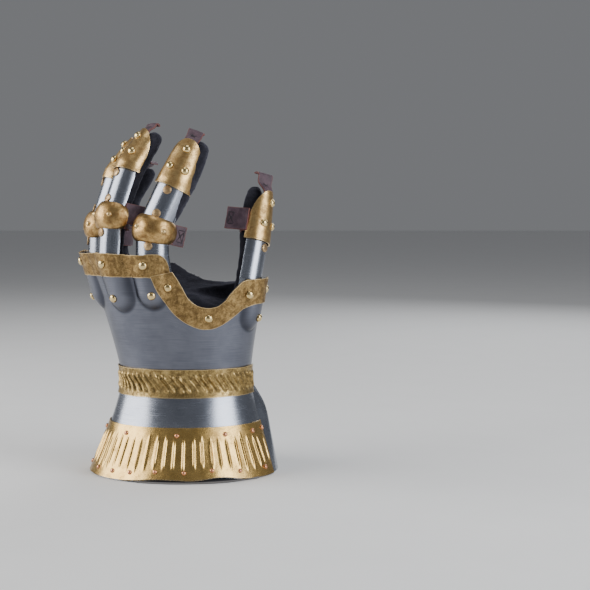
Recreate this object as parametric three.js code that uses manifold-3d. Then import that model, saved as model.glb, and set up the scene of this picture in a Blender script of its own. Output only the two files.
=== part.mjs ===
import * as THREE from "three";
import { mergeVertices } from "three/addons/utils/BufferGeometryUtils.js";
import Module from "manifold-3d";

// An hourglass gauntlet for the left hand: steel plates with brass trim over a suede glove.
// Millimetres, +Z up, the back of the hand towards -Y and the thumb towards +X. It stands on its cuff.

// Thicknesses and the clearance between pieces that lie on each other
const steelThickness = 1.2;
const brassThickness = 0.9;
const leatherThickness = 1.6;
const suedeThickness = 1.8;
const gap = 0.35;
const bandGap = 0.6;

// Plan of the main plate at the rim of the cuff, at the wrist and at the finger edge
const cuffHalfWidth = 76.5;
const cuffHalfDepth = 66;
const wristHalfWidth = 52;
const wristHalfDepth = 40;
const handHalfWidth = 76;
const handHalfDepth = 57;
const wristHeight = 74;
const handHeight = 102;
const wristSideShift = -0.8;
const cuffSideShift = -1.2;
const handSideShift = -6.2;
const handBackShift = 5;
const cuffFlare = 1.34;
const handFlare = 1.3;
const handSquareness = 0.4;

// Angles round the plan, in degrees from the front, positive towards the thumb
const littleSideEnd = -130;
const thumbSideEnd = 104;
const cuffSeamAngle = 70;
const wristSeamAngle = 88;
const innerPlateTuck = 9;
const innerPlateRise = 20;

// How far the inner plate stands out from the line of the main plate at a height, like a bell
const innerPlateBell = [
  { height: 0, out: 0 },
  { height: 26, out: 5.5 },
  { height: 49, out: 9 },
  { height: 64, out: 5.5 },
  { height: 74, out: 0 },
];

// Raised knuckle bosses of the main plate
const bossHeight = 4;
const bossFade = 0.45;
const bossRoundness = 0.17;

// Brass trim
const wristBandWidth = 22;
const wristRidgeCount = 28;
const wristRidgeHeight = 1;
const wristRidgeSlant = 9;
const wristRidgeMargin = 3.2;
const borderHeight = 40;
const borderLift = 0.8;
const borderLowerMargin = 9;
const borderUpperMargin = 9;
const fluteCount = 32;
const fluteHeight = 1.5;
const fingerBandWidth = 18;
const fingerBandCorner = 6.3;
const fingerBandEnd = -2.7;
const bandInset = 1;
const bandRivetSink = 1.1;

// Rivets: radius and height above the surface
const domeRivet = { radius: 3.4, height: 2.4, sides: 7, crown: 0.7 };
const flatRivet = { radius: 3.3, height: 0.9, sides: 6, crown: 0.95 };
const nippleRivet = { radius: 1.9, height: 1.5, sides: 5, crown: 0.7 };

// Fingers: section of the suede finger and lengths of the middle finger's plates
const suedeHalfWidth = 10.6;
const suedeHalfDepth = 9.2;
const plateSideRoom = 1.2;
const proximalLength = 31.5;
const middleLength = 44;
const tipLength = 34;
const thumbProximalLength = 35.5;
const thumbTipLength = 38;
const plateTuck = 18;
const suedeRoot = 26;
const plateHalfSpan = 84;
const plateFacets = 8;
const cupHalfSpan = 90;
const cupHalfLength = 11;
const cupGap = 0.65;
const cupBulge = 3;
const cupSideBulge = 0.45;
const strapHalfSpan = plateHalfSpan / 2;
const tipLap = 5;
const tipGap = 0.8;
const loopHalfWidth = 8.5;
const loopSetback = 9;
const thumbLoopRoom = { back: -0.2, side: 0.4, setback: 6 };

// Place and size of each digit. angle is its place on the main plate, facing the way its back looks and inset
// its depth under the plate. The lengths and the width are shares of the sizes above, and leans and curls hold a
// slope for each of its bones.
const digits = [
  {
    name: "index",
    angle: -14.5,
    facing: -12,
    lengths: [0.6, 0.926, 1.04],
    width: 1.05,
    inset: 1.2,
    leans: [0, 22.3, 20],
    curls: [3, 15, 20],
  },
  {
    name: "middle",
    angle: -48,
    facing: -51,
    lengths: [0.91, 0.97, 0.95],
    width: 0.92,
    inset: 1.4,
    leans: [0, -2, 0],
    curls: [5, 23, 37],
  },
  {
    name: "ring",
    angle: -87,
    facing: -82,
    lengths: [0.66, 0.98, 0.94],
    width: 0.87,
    inset: 2.4,
    leans: [0, -6, -7],
    curls: [4, 18, 34],
  },
  {
    name: "little",
    angle: -125,
    facing: -112,
    lengths: [0.45, 0.74, 0.76],
    width: 0.8,
    inset: 3,
    leans: [0, -5, -4],
    curls: [4, 20, 36],
  },
  {
    name: "thumb",
    angle: 64,
    facing: 60,
    lengths: [1, 1],
    width: 0.95,
    inset: 2.2,
    leans: [19, 17.5],
    curls: [0, 0],
  },
];

// Knuckle bosses. bottom and rivet are shares of the height of the hand above the wrist.
const bosses = [
  { name: "index", angle: -16.5, halfSpan: 13, bottom: 0.575, rivetAngle: -14.8, rivet: 0.684 },
  { name: "middle", angle: -43, halfSpan: 12.5, bottom: 0.55, rivetAngle: -42.4, rivet: 0.656 },
  { name: "ring", angle: -79, halfSpan: 17, bottom: 0.55, rivetAngle: -85, rivet: 0.652 },
  { name: "little", angle: -112, halfSpan: 12, bottom: 0.56, rivetAngle: -111, rivet: 0.65 },
  { name: "thumb", angle: 64, halfSpan: 17, bottom: 0.39, rivetAngle: 66, rivet: 0.49 },
];

// Edges of the thumb band from its seam on the finger band round the notch and the thumb.
// Heights are shares of the height of the hand above the wrist.
const thumbBandEdges = [
  { share: 0, upperAngle: -1, upper: 0.868, lowerAngle: -13.7, lower: 0.836 },
  { share: 0.14, upperAngle: 3.7, upper: 0.761, lowerAngle: -9.8, lower: 0.683 },
  { share: 0.28, upperAngle: 8.3, upper: 0.656, lowerAngle: -2.9, lower: 0.547 },
  { share: 0.4, upperAngle: 16.1, upper: 0.595, lowerAngle: 8, lower: 0.455 },
  { share: 0.5, upperAngle: 25.6, upper: 0.59, lowerAngle: 20, lower: 0.419 },
  { share: 0.6, upperAngle: 32.4, upper: 0.634, lowerAngle: 31, lower: 0.444 },
  { share: 0.7, upperAngle: 39.4, upper: 0.73, lowerAngle: 42.4, lower: 0.518 },
  { share: 0.8, upperAngle: 47, upper: 0.79, lowerAngle: 54.7, lower: 0.597 },
  { share: 0.9, upperAngle: 62, upper: 0.8, lowerAngle: 74, lower: 0.607 },
  { share: 1, upperAngle: 102, upper: 0.79, lowerAngle: 102, lower: 0.607 },
];

const fingerBandRivets = [
  { angle: -113, height: 0.92 },
  { angle: -76.6, height: 0.928 },
  { angle: -44, height: 0.92 },
  { angle: -17.2, height: 0.915 },
];
const thumbBandRivets = [
  { share: 0.11, across: 0.45 },
  { share: 0.49, across: 0.5 },
  { share: 0.8, across: 0.42 },
  { share: 0.965, across: 0.5 },
];

// Rivets on the plates of a digit: share along the plate and angle round it
const tipRivets = [
  { share: 0.74, angle: 4 },
  { share: 0.26, angle: -27 },
  { share: 0.26, angle: 29 },
];
const cupRivets = [-36, 40];

// Section of a suede finger along its stations, as a share of its section at the knuckle. A station counts
// the joints: 1 at the edge of the main plate, then one for each joint towards the tip.
const taperToTip = [
  { left: 3, size: 1 },
  { left: 1, size: 0.97 },
  { left: 0.25, size: 0.87 },
  { left: 0, size: 0.74 },
  { left: -0.12, size: 0.5 },
];

const colours = {
  satinSteel: { color: 0x8a90a0, roughness: 0.34, metalness: 1 },
  brightSteel: { color: 0xb4bac8, roughness: 0.22, metalness: 1 },
  agedBrass: { color: 0x8c6a34, roughness: 0.42, metalness: 1 },
  polishedBrass: { color: 0xc79a4e, roughness: 0.3, metalness: 1 },
  rivetBrass: { color: 0xc2a25c, roughness: 0.25, metalness: 1 },
  purpleLeather: { color: 0x3c2a33, roughness: 0.8, metalness: 0 },
  darkSuede: { color: 0x17161b, roughness: 0.95, metalness: 0 },
};

const wasm = await Module();
wasm.setup();

const radians = THREE.MathUtils.degToRad;
const lerp = THREE.MathUtils.lerp;

function spaced(from, to, intervals) {
  return Array.from({ length: intervals + 1 }, (_, i) => lerp(from, to, i / intervals));
}

// Value of a column of a table at a key, straight between its rows
function tableValue(table, keyName, key, valueName) {
  const rows = [...table].sort((a, b) => a[keyName] - b[keyName]);
  if (key <= rows[0][keyName]) return rows[0][valueName];
  for (let i = 1; i < rows.length; i++) {
    if (key > rows[i][keyName]) continue;
    const share = (key - rows[i - 1][keyName]) / (rows[i][keyName] - rows[i - 1][keyName]);
    return lerp(rows[i - 1][valueName], rows[i][valueName], share);
  }
  return rows[rows.length - 1][valueName];
}

function handLevel(share) {
  return wristHeight + handHeight * share;
}

// Plan of the main plate at a height
function planAt(height) {
  if (height > wristHeight) {
    const share = (height - wristHeight) / handHeight;
    const flare = share ** handFlare;
    return {
      x: wristSideShift + handSideShift * share,
      y: handBackShift * share,
      halfWidth: lerp(wristHalfWidth, handHalfWidth, flare),
      halfDepth: lerp(wristHalfDepth, handHalfDepth, flare),
      power: 2 + handSquareness * share,
    };
  }
  const share = (wristHeight - height) / wristHeight;
  const flare = share ** cuffFlare;
  return {
    x: wristSideShift + cuffSideShift * share,
    y: 0,
    halfWidth: lerp(wristHalfWidth, cuffHalfWidth, flare),
    halfDepth: lerp(wristHalfDepth, cuffHalfDepth, flare),
    power: 2,
  };
}

// Height of the knuckle bosses above the plate, rounded at their lower ends
function bossRelief(angle, height) {
  const level = (height - wristHeight) / handHeight;
  let relief = 0;
  for (const boss of bosses) {
    const across = (angle - boss.angle) / boss.halfSpan;
    const below = Math.max(0, 1 - (level - boss.bottom) / bossRoundness);
    const distance = Math.hypot(across, below);
    if (distance >= 1) continue;
    const fade = 1 - bossFade * Math.max(0, (level - boss.bottom) / (1 - boss.bottom) - 0.3);
    relief += bossHeight * fade * Math.cos((distance * Math.PI) / 2) ** 2;
  }
  return relief;
}

// Point on the main plate's outer face, moved out by an offset
function plainShellPoint(angle, height, offset) {
  const plan = planAt(height);
  const sine = Math.sin(radians(angle));
  const cosine = Math.cos(radians(angle));
  const stretch =
    (Math.abs(sine) ** plan.power + Math.abs(cosine) ** plan.power) ** (-1 / plan.power);
  return new THREE.Vector3(
    plan.x + (plan.halfWidth * stretch + offset) * sine,
    plan.y - (plan.halfDepth * stretch + offset) * cosine,
    height,
  );
}

function shellPoint(angle, height, offset) {
  return plainShellPoint(angle, height, offset + bossRelief(angle, height));
}

function shellNormal(angle, height) {
  const step = 0.5;
  const round = shellPoint(angle + step, height, 0).sub(shellPoint(angle - step, height, 0));
  const up = shellPoint(angle, height + step, 0).sub(shellPoint(angle, height - step, 0));
  return round.cross(up).normalize();
}

function geometryFrom(points, triangles) {
  const flat = new Float32Array(points.flatMap((point) => [point.x, point.y, point.z]));
  const geometry = new THREE.BufferGeometry();
  geometry.setAttribute("position", new THREE.BufferAttribute(flat, 3));
  geometry.setIndex(triangles);
  const a = new THREE.Vector3();
  let volume = 0;
  for (let i = 0; i < triangles.length; i += 3) {
    a.copy(points[triangles[i + 1]]).cross(points[triangles[i + 2]]);
    volume += points[triangles[i]].dot(a);
  }
  if (volume < 0) {
    for (let i = 0; i < triangles.length; i += 3) {
      [triangles[i + 1], triangles[i + 2]] = [triangles[i + 2], triangles[i + 1]];
    }
    geometry.setIndex(triangles);
  }
  return geometry;
}

// A closed sheet over a grid. pointAt(u, v, side) gives its inner face for side 0 and its outer for side 1.
function sheet(us, vs, pointAt) {
  const points = [];
  const triangles = [];
  for (const side of [0, 1]) {
    for (const v of vs) {
      for (const u of us) points.push(pointAt(u, v, side));
    }
  }
  const last = { u: us.length - 1, v: vs.length - 1 };
  const at = (i, j, side) => side * us.length * vs.length + j * us.length + i;
  const quad = (a, b, c, d) => triangles.push(a, b, c, a, c, d);
  for (let j = 0; j < last.v; j++) {
    for (let i = 0; i < last.u; i++) {
      quad(at(i, j, 1), at(i + 1, j, 1), at(i + 1, j + 1, 1), at(i, j + 1, 1));
      quad(at(i, j, 0), at(i, j + 1, 0), at(i + 1, j + 1, 0), at(i + 1, j, 0));
    }
  }
  for (let i = 0; i < last.u; i++) {
    quad(at(i, 0, 0), at(i + 1, 0, 0), at(i + 1, 0, 1), at(i, 0, 1));
    quad(at(i, last.v, 1), at(i + 1, last.v, 1), at(i + 1, last.v, 0), at(i, last.v, 0));
  }
  for (let j = 0; j < last.v; j++) {
    quad(at(0, j, 1), at(0, j + 1, 1), at(0, j + 1, 0), at(0, j, 0));
    quad(at(last.u, j, 0), at(last.u, j + 1, 0), at(last.u, j + 1, 1), at(last.u, j, 1));
  }
  return geometryFrom(points, triangles);
}

// A closed body through rings of equally many points, with a point at the middle of each end
function loft(rings, firstCentre, lastCentre) {
  const count = rings[0].length;
  const points = [...rings.flat(), firstCentre, lastCentre];
  const triangles = [];
  const at = (i, j) => j * count + (i % count);
  const first = rings.length * count;
  for (let i = 0; i < count; i++) {
    for (let j = 0; j < rings.length - 1; j++) {
      triangles.push(at(i, j), at(i + 1, j), at(i + 1, j + 1));
      triangles.push(at(i, j), at(i + 1, j + 1), at(i, j + 1));
    }
    triangles.push(first, at(i + 1, 0), at(i, 0));
    triangles.push(first + 1, at(i, rings.length - 1), at(i + 1, rings.length - 1));
  }
  return geometryFrom(points, triangles);
}

function solidFrom(geometry) {
  const bare = geometry.clone();
  bare.deleteAttribute("normal");
  bare.deleteAttribute("uv");
  const merged = mergeVertices(bare, 1e-4);
  return new wasm.Manifold(
    new wasm.Mesh({
      numProp: 3,
      vertProperties: merged.attributes.position.array,
      triVerts: new Uint32Array(merged.index.array),
    }),
  );
}

function geometryOf(solid) {
  const mesh = solid.getMesh();
  const geometry = new THREE.BufferGeometry();
  geometry.setAttribute("position", new THREE.BufferAttribute(mesh.vertProperties, 3));
  geometry.setIndex(new THREE.BufferAttribute(mesh.triVerts, 1));
  return geometry;
}

function joined(geometries) {
  return geometries.map(solidFrom).reduce((whole, piece) => whole.add(piece));
}

// A low dome or disc on a point of a surface, with a foot sunk into it
function rivetOn(point, normal, size, sink) {
  const { radius, height, sides, crown } = size;
  const profile = [
    new THREE.Vector2(0, -sink),
    new THREE.Vector2(radius, -sink),
    new THREE.Vector2(radius * crown, height * 0.85),
    new THREE.Vector2(0, height),
  ];
  const turn = new THREE.Quaternion().setFromUnitVectors(new THREE.Vector3(0, 1, 0), normal);
  return new THREE.LatheGeometry(profile, sides)
    .applyQuaternion(turn)
    .translate(point.x, point.y, point.z);
}

function withRivets(plate, rivets) {
  return rivets.length ? geometryOf(joined([plate, ...rivets])) : plate;
}

const gauntlet = new THREE.Group();

function addPiece(name, geometry, finish) {
  const shaded = geometry.toNonIndexed();
  shaded.computeVertexNormals();
  const mesh = new THREE.Mesh(shaded, new THREE.MeshStandardMaterial(colours[finish]));
  mesh.name = name;
  gauntlet.add(mesh);
}

// Upper edges of the two brass bands, as heights over the floor
function fingerBandTop(angle) {
  const start = fingerBandEnd - fingerBandCorner;
  const across = THREE.MathUtils.clamp((angle - start) / fingerBandCorner, 0, 1);
  return handLevel(lerp(thumbBandEdges[0].upper, 1, Math.sqrt(1 - across * across)));
}

function plateTop(angle) {
  if (angle < fingerBandEnd) return fingerBandTop(angle) - bandInset;
  return handLevel(tableValue(thumbBandEdges, "upperAngle", angle, "upper")) - bandInset;
}

// Thumb-side end of the main plate at a height: on the cuff it stops at the seam with the inner plate
function seamAngle(height) {
  if (height < wristHeight) {
    return lerp(cuffSeamAngle, wristSeamAngle, height / wristHeight);
  }
  const share = THREE.MathUtils.smoothstep(height, wristHeight, handLevel(0.35));
  return lerp(wristSeamAngle, thumbSideEnd, share);
}

// Heights of the facets below the knuckles, closest at the waist
const waistRows = [0, 0.35, 0.66, 0.86, 1, 1.14, 1.28].map((share) => share * wristHeight);
const bandFacets = 15;

function handPlate() {
  const lastFixed = 50;
  const columns = [
    ...spaced(littleSideEnd, fingerBandEnd - fingerBandCorner, bandFacets),
    ...[-5.5, -3.1, -1, 3.7, 8.3, 16.1, 25.6, 32.4, 39.4, 46],
    ...spaced(lastFixed + 3, thumbSideEnd, 6),
  ];
  const shared = handLevel(0.34);
  const rows = [...waistRows, ...spaced(0, 1, 6).map((share) => share + shared)];
  const geometry = sheet(columns, rows, (column, row, side) => {
    const offset = side ? 0 : -steelThickness;
    const height = row < shared ? row : lerp(shared, plateTop(column), row - shared);
    const seam = seamAngle(height);
    const angle =
      column <= lastFixed
        ? column
        : lerp(lastFixed, seam, (column - lastFixed) / (thumbSideEnd - lastFixed));
    return shellPoint(angle, height, offset);
  });
  addPiece("hand_plate", geometry, "satinSteel");
}

// The bell starts beside the seams, so that the plate's ends stay under the main plate
function bellOffset(angle, height, end) {
  const near = Math.min(angle - seamAngle(height), end - angle) / innerPlateRise;
  const out = tableValue(innerPlateBell, "height", height, "out");
  return out * THREE.MathUtils.smoothstep(near, 0.1, 1);
}

function innerCuffPlate() {
  const fullTurn = 360;
  const columns = spaced(0, 1, 16);
  const rows = waistRows;
  const outer = -steelThickness - gap;
  const geometry = sheet(columns, rows, (share, height, side) => {
    const from = seamAngle(height) - innerPlateTuck;
    const to = littleSideEnd + fullTurn + innerPlateTuck;
    const angle = lerp(from, to, share);
    const offset = outer + bellOffset(angle, height, littleSideEnd + fullTurn);
    return shellPoint(angle, height, side ? offset : offset - steelThickness);
  });
  addPiece("inner_cuff_plate", geometry, "brightSteel");
}

function fingerBand() {
  const lower = 1 - fingerBandWidth / handHeight;
  const columns = [
    ...spaced(littleSideEnd, fingerBandEnd - fingerBandCorner, bandFacets),
    ...[-5.5, -3.8, -3.1, fingerBandEnd],
  ];
  const plate = sheet(columns, [0, 1], (angle, share, side) => {
    const height = lerp(handLevel(lower), fingerBandTop(angle), share);
    return shellPoint(angle, height, bandGap + side * brassThickness);
  });
  const rivets = fingerBandRivets.map(({ angle, height }) =>
    rivetOnShell(angle, handLevel(height), bandGap + brassThickness, domeRivet),
  );
  addPiece("finger_band", withRivets(plate, rivets), "agedBrass");
}

function rivetOnShell(angle, height, offset, size) {
  const point = shellPoint(angle, height, offset);
  return rivetOn(point, shellNormal(angle, height), size, bandRivetSink);
}

// Angle, height and offset of a point of the thumb band, given along and across it
function thumbBandPlace(share, across) {
  const at = (column) => tableValue(thumbBandEdges, "share", share, column);
  const lapEnd = 0.14;
  const lap = Math.max(0, 1 - share / lapEnd);
  return {
    angle: lerp(at("lowerAngle"), at("upperAngle"), across),
    height: handLevel(lerp(at("lower"), at("upper"), across)),
    offset: bandGap + lap * (brassThickness + gap),
  };
}

function thumbBand() {
  const columns = [...spaced(0, 0.84, 12), ...spaced(0.87, 1, 5)];
  const plate = sheet(columns, [0, 0.5, 1], (share, across, side) => {
    const place = thumbBandPlace(share, across);
    return shellPoint(place.angle, place.height, place.offset + side * brassThickness);
  });
  const rivets = thumbBandRivets.map(({ share, across }) => {
    const place = thumbBandPlace(share, across);
    return rivetOnShell(place.angle, place.height, place.offset + brassThickness, domeRivet);
  });
  addPiece("thumb_band", withRivets(plate, rivets), "agedBrass");
}

function wristBand() {
  const rows = [0, wristRidgeMargin, wristBandWidth - wristRidgeMargin, wristBandWidth];
  const columns = spaced(0, 1, 2 * wristRidgeCount);
  const geometry = sheet(columns, rows, (share, across, side) => {
    const height = wristHeight - wristBandWidth / 2 + across;
    const inRidge = across > 0 && across < wristBandWidth;
    const crest = Math.round(share * 2 * wristRidgeCount) % 2 === 1;
    const slant = (0.5 - across / wristBandWidth) * wristRidgeSlant * Math.sin(share * Math.PI);
    const angle = lerp(littleSideEnd + 1, seamAngle(height) - 1, share) + slant;
    const relief = inRidge && crest ? wristRidgeHeight : 0;
    return plainShellPoint(angle, height, bandGap + relief + side * brassThickness);
  });
  addPiece("wrist_band", geometry, "agedBrass");
}

function cuffBorder() {
  const top = borderHeight + borderLift;
  const rows = [borderLift, borderLowerMargin, top - borderUpperMargin, top];
  const columns = spaced(0, 1, 2 * fluteCount);
  const geometry = sheet(columns, rows, (share, height, side) => {
    const inFlute = height > rows[0] && height < top;
    const crest = Math.round(share * 2 * fluteCount) % 2 === 1;
    const angle = lerp(littleSideEnd + 1, seamAngle(height) - 1, share);
    const relief = inFlute && crest ? fluteHeight : 0;
    return plainShellPoint(angle, height, bandGap + relief + side * brassThickness);
  });
  addPiece("cuff_border", geometry, "polishedBrass");
}

function knuckleRivets() {
  for (const boss of bosses) {
    const height = handLevel(boss.rivet);
    const point = shellPoint(boss.rivetAngle, height, bandGap);
    const rivet = rivetOn(point, shellNormal(boss.rivetAngle, height), domeRivet, 0);
    addPiece("knuckle_rivet_" + boss.name, rivet, "rivetBrass");
  }
}

// Sections of the sleeve round a digit, as distances from its axis
const strapInside = gap;
const strapOutside = strapInside + leatherThickness;
const plateInside = strapOutside + gap;
const plateOutside = plateInside + steelThickness;
const tipInside = plateOutside + tipGap;

function facingVector(angle) {
  return new THREE.Vector3(Math.sin(radians(angle)), -Math.cos(radians(angle)), 0);
}

// Axis of a digit: a point under the main plate, one at its edge, its joints and its tip
function digitPath(digit) {
  const outward = facingVector(digit.facing);
  const sideways = new THREE.Vector3(-outward.y, outward.x, 0);
  const depth = plateOutside + suedeHalfDepth * digit.width + digit.inset;
  const under = (height) =>
    shellPoint(digit.angle, height, -steelThickness - gap).addScaledVector(outward, -depth);
  const edge = plateTop(digit.angle);
  const isThumb = digit.name === "thumb";
  const bones = isThumb
    ? [thumbProximalLength, thumbTipLength]
    : [proximalLength, middleLength, tipLength];
  const joints = [under(edge - suedeRoot), under(edge)];
  digit.lengths.forEach((share, i) => {
    const direction = new THREE.Vector3(0, 0, 1)
      .addScaledVector(sideways, Math.tan(radians(digit.leans[i])))
      .addScaledVector(outward, -Math.tan(radians(digit.curls[i])))
      .normalize();
    const previous = joints[joints.length - 1];
    joints.push(previous.clone().addScaledVector(direction, share * bones[i]));
  });
  return { ...digit, outward, joints, bones };
}

// Origin and axes of a digit's section at a station, which counts its joints
function frameAt(path, station) {
  const last = path.joints.length - 1;
  const bone = (i) => path.joints[i + 1].clone().sub(path.joints[i]).normalize();
  const near = Math.round(station);
  const isJoint = Math.abs(station - near) < 0.02 && near > 0 && near < last;
  const index = THREE.MathUtils.clamp(Math.floor(station), 0, last - 1);
  const tangent = isJoint ? bone(near - 1).add(bone(near)).normalize() : bone(index);
  const from = path.joints[index];
  const origin = from.clone().lerp(path.joints[index + 1], station - index);
  const back = path.outward.clone().addScaledVector(tangent, -path.outward.dot(tangent)).normalize();
  return { origin, tangent, back, side: tangent.clone().cross(back) };
}

// The layers lie closer together at the sides of a digit than on its back
function sideDistance(distance) {
  if (distance < 0) return distance;
  if (distance < plateInside) return (distance * plateSideRoom) / plateInside;
  return plateSideRoom + distance - plateInside;
}

// Point on the sleeve round a digit at a station, an angle round it and a distance from the suede
function sleevePoint(path, station, angle, distance) {
  const frame = frameAt(path, station);
  const left = path.joints.length - 1 - station;
  const size = tableValue(taperToTip, "left", left, "size") * path.width;
  const halfWidth = suedeHalfWidth * size + sideDistance(distance);
  const halfDepth = suedeHalfDepth * size + distance;
  return frame.origin
    .addScaledVector(frame.side, halfWidth * Math.sin(radians(angle)))
    .addScaledVector(frame.back, halfDepth * Math.cos(radians(angle)));
}

function sleeveRivet(path, station, angle, distance, size, sink) {
  const point = sleevePoint(path, station, angle, distance);
  const frame = frameAt(path, station);
  const normal = frame.side
    .multiplyScalar(Math.sin(radians(angle)))
    .addScaledVector(frame.back, Math.cos(radians(angle)));
  return rivetOn(point, normal.normalize(), size, sink);
}

const plateAngles = spaced(-plateHalfSpan, plateHalfSpan, plateFacets);

// Slope that a joint's two bones make with the mean of them
function bendAt(path, joint) {
  const first = path.joints[joint].clone().sub(path.joints[joint - 1]);
  const second = path.joints[joint + 1].clone().sub(path.joints[joint]);
  return Math.tan(first.angleTo(second) / 2);
}

// Steel plate of the first bone: it runs out from under the main plate to the first joint
function proximalPlate(path) {
  const start = 1 - plateTuck / suedeRoot;
  const length = path.lengths[0] * path.bones[0];
  const jointGap = 2.5 / length;
  const overlap = path.name === "thumb" ? 0 : jointGap;
  const rows = [start, 1, 2 - overlap];
  const plate = sheet(plateAngles, rows, (angle, station, side) =>
    sleevePoint(path, station, angle, side ? plateOutside : plateInside),
  );
  const cover = path.name === "thumb" ? tipLap : cupHalfLength;
  const rivetStation = 2 - (cover + flatRivet.radius + 1) / length;
  const rivet = sleeveRivet(path, rivetStation, 0, plateOutside, flatRivet, 0.8);
  addPiece(path.name + "_proximal_plate", withRivets(plate, [rivet]), "brightSteel");
}

function middlePlate(path) {
  const length = path.lengths[1] * path.bones[1];
  const rows = [2 + 2.5 / length, 3];
  const plate = sheet(plateAngles, rows, (angle, station, side) =>
    sleevePoint(path, station, angle, side ? plateOutside : plateInside),
  );
  const rivets = [cupHalfLength + 4, length - tipLap - 4].map((along) =>
    sleeveRivet(path, 2 + along / length, 0, plateOutside, flatRivet, 0.8),
  );
  addPiece(path.name + "_middle_plate", withRivets(plate, rivets), "brightSteel");
}

// Brass plate of the last bone: it laps over the plate below it and narrows to a round point
function tipPlate(path) {
  const last = path.joints.length - 1;
  const length = path.lengths[last - 2] * path.bones[last - 2];
  const rows = [-tipLap / length, 0, 0.35, 0.65, 0.86, 0.96];
  const halfSpan = (share) => 90 * Math.sqrt(1 - Math.max(0, share) ** 2.6);
  const outside = (share) =>
    lerp(tipInside, plateInside + 0.2, THREE.MathUtils.clamp(share, 0, 1)) + brassThickness;
  const plate = sheet(spaced(-1, 1, plateFacets), rows, (turn, share, side) => {
    const distance = outside(share) - (side ? 0 : brassThickness);
    const station = last - 1 + Math.max(share, 0) + Math.min(share, 0) * boneRatio(path, last);
    return sleevePoint(path, station, turn * halfSpan(share), distance);
  });
  const rivets = tipRivets.map(({ share, angle }) =>
    sleeveRivet(path, last - 1 + share, angle, outside(share), domeRivet, 0.6),
  );
  addPiece(path.name + "_tip_plate", withRivets(plate, rivets), "polishedBrass");
}

// Length of the last bone as a share of the one before it
function boneRatio(path, last) {
  const bone = (i) => path.joints[i].distanceTo(path.joints[i - 1]);
  return bone(last) / bone(last - 1);
}

// Bulged brass cup over the first joint of a finger. It bends with the two bones.
function knuckleCup(path) {
  const joint = path.joints[2];
  const bones = [1, 2].map((i) => path.joints[i + 1].clone().sub(path.joints[i]).normalize());
  const bulge = (share) => Math.sqrt(Math.max(0, 1 - share ** 2)) ** 0.8;
  const section = (share) => {
    const along = (1 + share) / 2;
    const tangent = bones[0].clone().lerp(bones[1], along).normalize();
    const origin = joint
      .clone()
      .addScaledVector(bones[0], -cupHalfLength * (1 - along) ** 2)
      .addScaledVector(bones[1], cupHalfLength * along ** 2);
    const lean = path.outward.dot(tangent);
    const back = path.outward.clone().addScaledVector(tangent, -lean).normalize();
    return { origin, back, side: tangent.clone().cross(back) };
  };
  const cupPoint = (angle, share, distance) => {
    const { origin, back, side } = section(share);
    const rise = cupBulge * bulge(share);
    const halfWidth = suedeHalfWidth * path.width + sideDistance(distance) + cupSideBulge * rise;
    const halfDepth = suedeHalfDepth * path.width + distance + rise;
    return origin
      .addScaledVector(side, halfWidth * Math.sin(radians(angle)))
      .addScaledVector(back, halfDepth * Math.cos(radians(angle)));
  };
  const columns = spaced(-cupHalfSpan, cupHalfSpan, plateFacets);
  const rows = [-1, -0.6, 0, 0.6, 1];
  const plate = sheet(columns, rows, (angle, share, side) =>
    cupPoint(angle, share, plateOutside + cupGap + side * brassThickness),
  );
  const rivets = cupRivets.map((angle) => {
    const point = cupPoint(angle, 0, plateOutside + cupGap + brassThickness);
    const { back, side } = section(0);
    const normal = side
      .multiplyScalar(Math.sin(radians(angle)))
      .addScaledVector(back, Math.cos(radians(angle)));
    return rivetOn(point, normal, nippleRivet, 0.6);
  });
  addPiece(path.name + "_knuckle_cup", withRivets(plate, rivets), "polishedBrass");
}

// Leather strap on the back of a digit, under its plates, with its end over the tip of the suede
function fingerStrap(path) {
  const last = path.joints.length - 1;
  const rows = [0.6, ...spaced(1, last - 1, last - 2), last - 0.25, last, last + 0.12];
  const geometry = sheet([-strapHalfSpan, 0, strapHalfSpan], rows, (angle, station, side) =>
    sleevePoint(path, station, angle, side ? strapOutside : strapInside),
  );
  addPiece(path.name + "_finger_strap", geometry, "purpleLeather");
}

// Leather loop round the inner side of a digit, from one end of the cup or the tip plate to the other
function loopStrap(path) {
  const isThumb = path.name === "thumb";
  const joint = isThumb ? path.joints.length - 2 + 0.25 : 2;
  const frame = frameAt(path, joint);
  const room = isThumb ? thumbLoopRoom.back : loopHalfWidth * bendAt(path, joint);
  const sideRoom = isThumb ? thumbLoopRoom.side : 0;
  const halfWidth = suedeHalfWidth * path.width + sideDistance(plateOutside + gap) + sideRoom;
  const halfDepth = suedeHalfDepth * path.width + gap + room;
  const from = cupHalfSpan + (isThumb ? thumbLoopRoom.setback : loopSetback);
  const angles = spaced(from, 360 - from, 10);
  const half = loopHalfWidth;
  const geometry = sheet(angles, [-half, half], (angle, along, side) => {
    const out = side * leatherThickness;
    return frame.origin
      .clone()
      .addScaledVector(frame.tangent, along)
      .addScaledVector(frame.side, (halfWidth + out) * Math.sin(radians(angle)))
      .addScaledVector(frame.back, (halfDepth + out) * Math.cos(radians(angle)));
  });
  addPiece(path.name + "_loop_strap", geometry, "purpleLeather");
}

// Suede glove: a palm that fills the plates and a tube for each digit, all hollow and open at the cuff
const palmBackShare = 0.42;
const gloveRoom = steelThickness * 2 + gap * 2 + 2.2;

function glovePalmPoint(angle, height, inset) {
  const outward = plainShellPoint(angle, height, -gloveRoom - inset);
  const plan = planAt(height);
  const open = THREE.MathUtils.smoothstep(height, wristHeight, handLevel(0.75));
  const behind = Math.min(
    THREE.MathUtils.smoothstep(angle, 92, 140),
    THREE.MathUtils.smoothstep(360 + littleSideEnd - angle, -8, 45),
  );
  const pull = 1 - (1 - palmBackShare) * open * behind;
  return new THREE.Vector3(
    lerp(plan.x, outward.x, pull),
    lerp(plan.y, outward.y, pull),
    height,
  );
}

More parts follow.
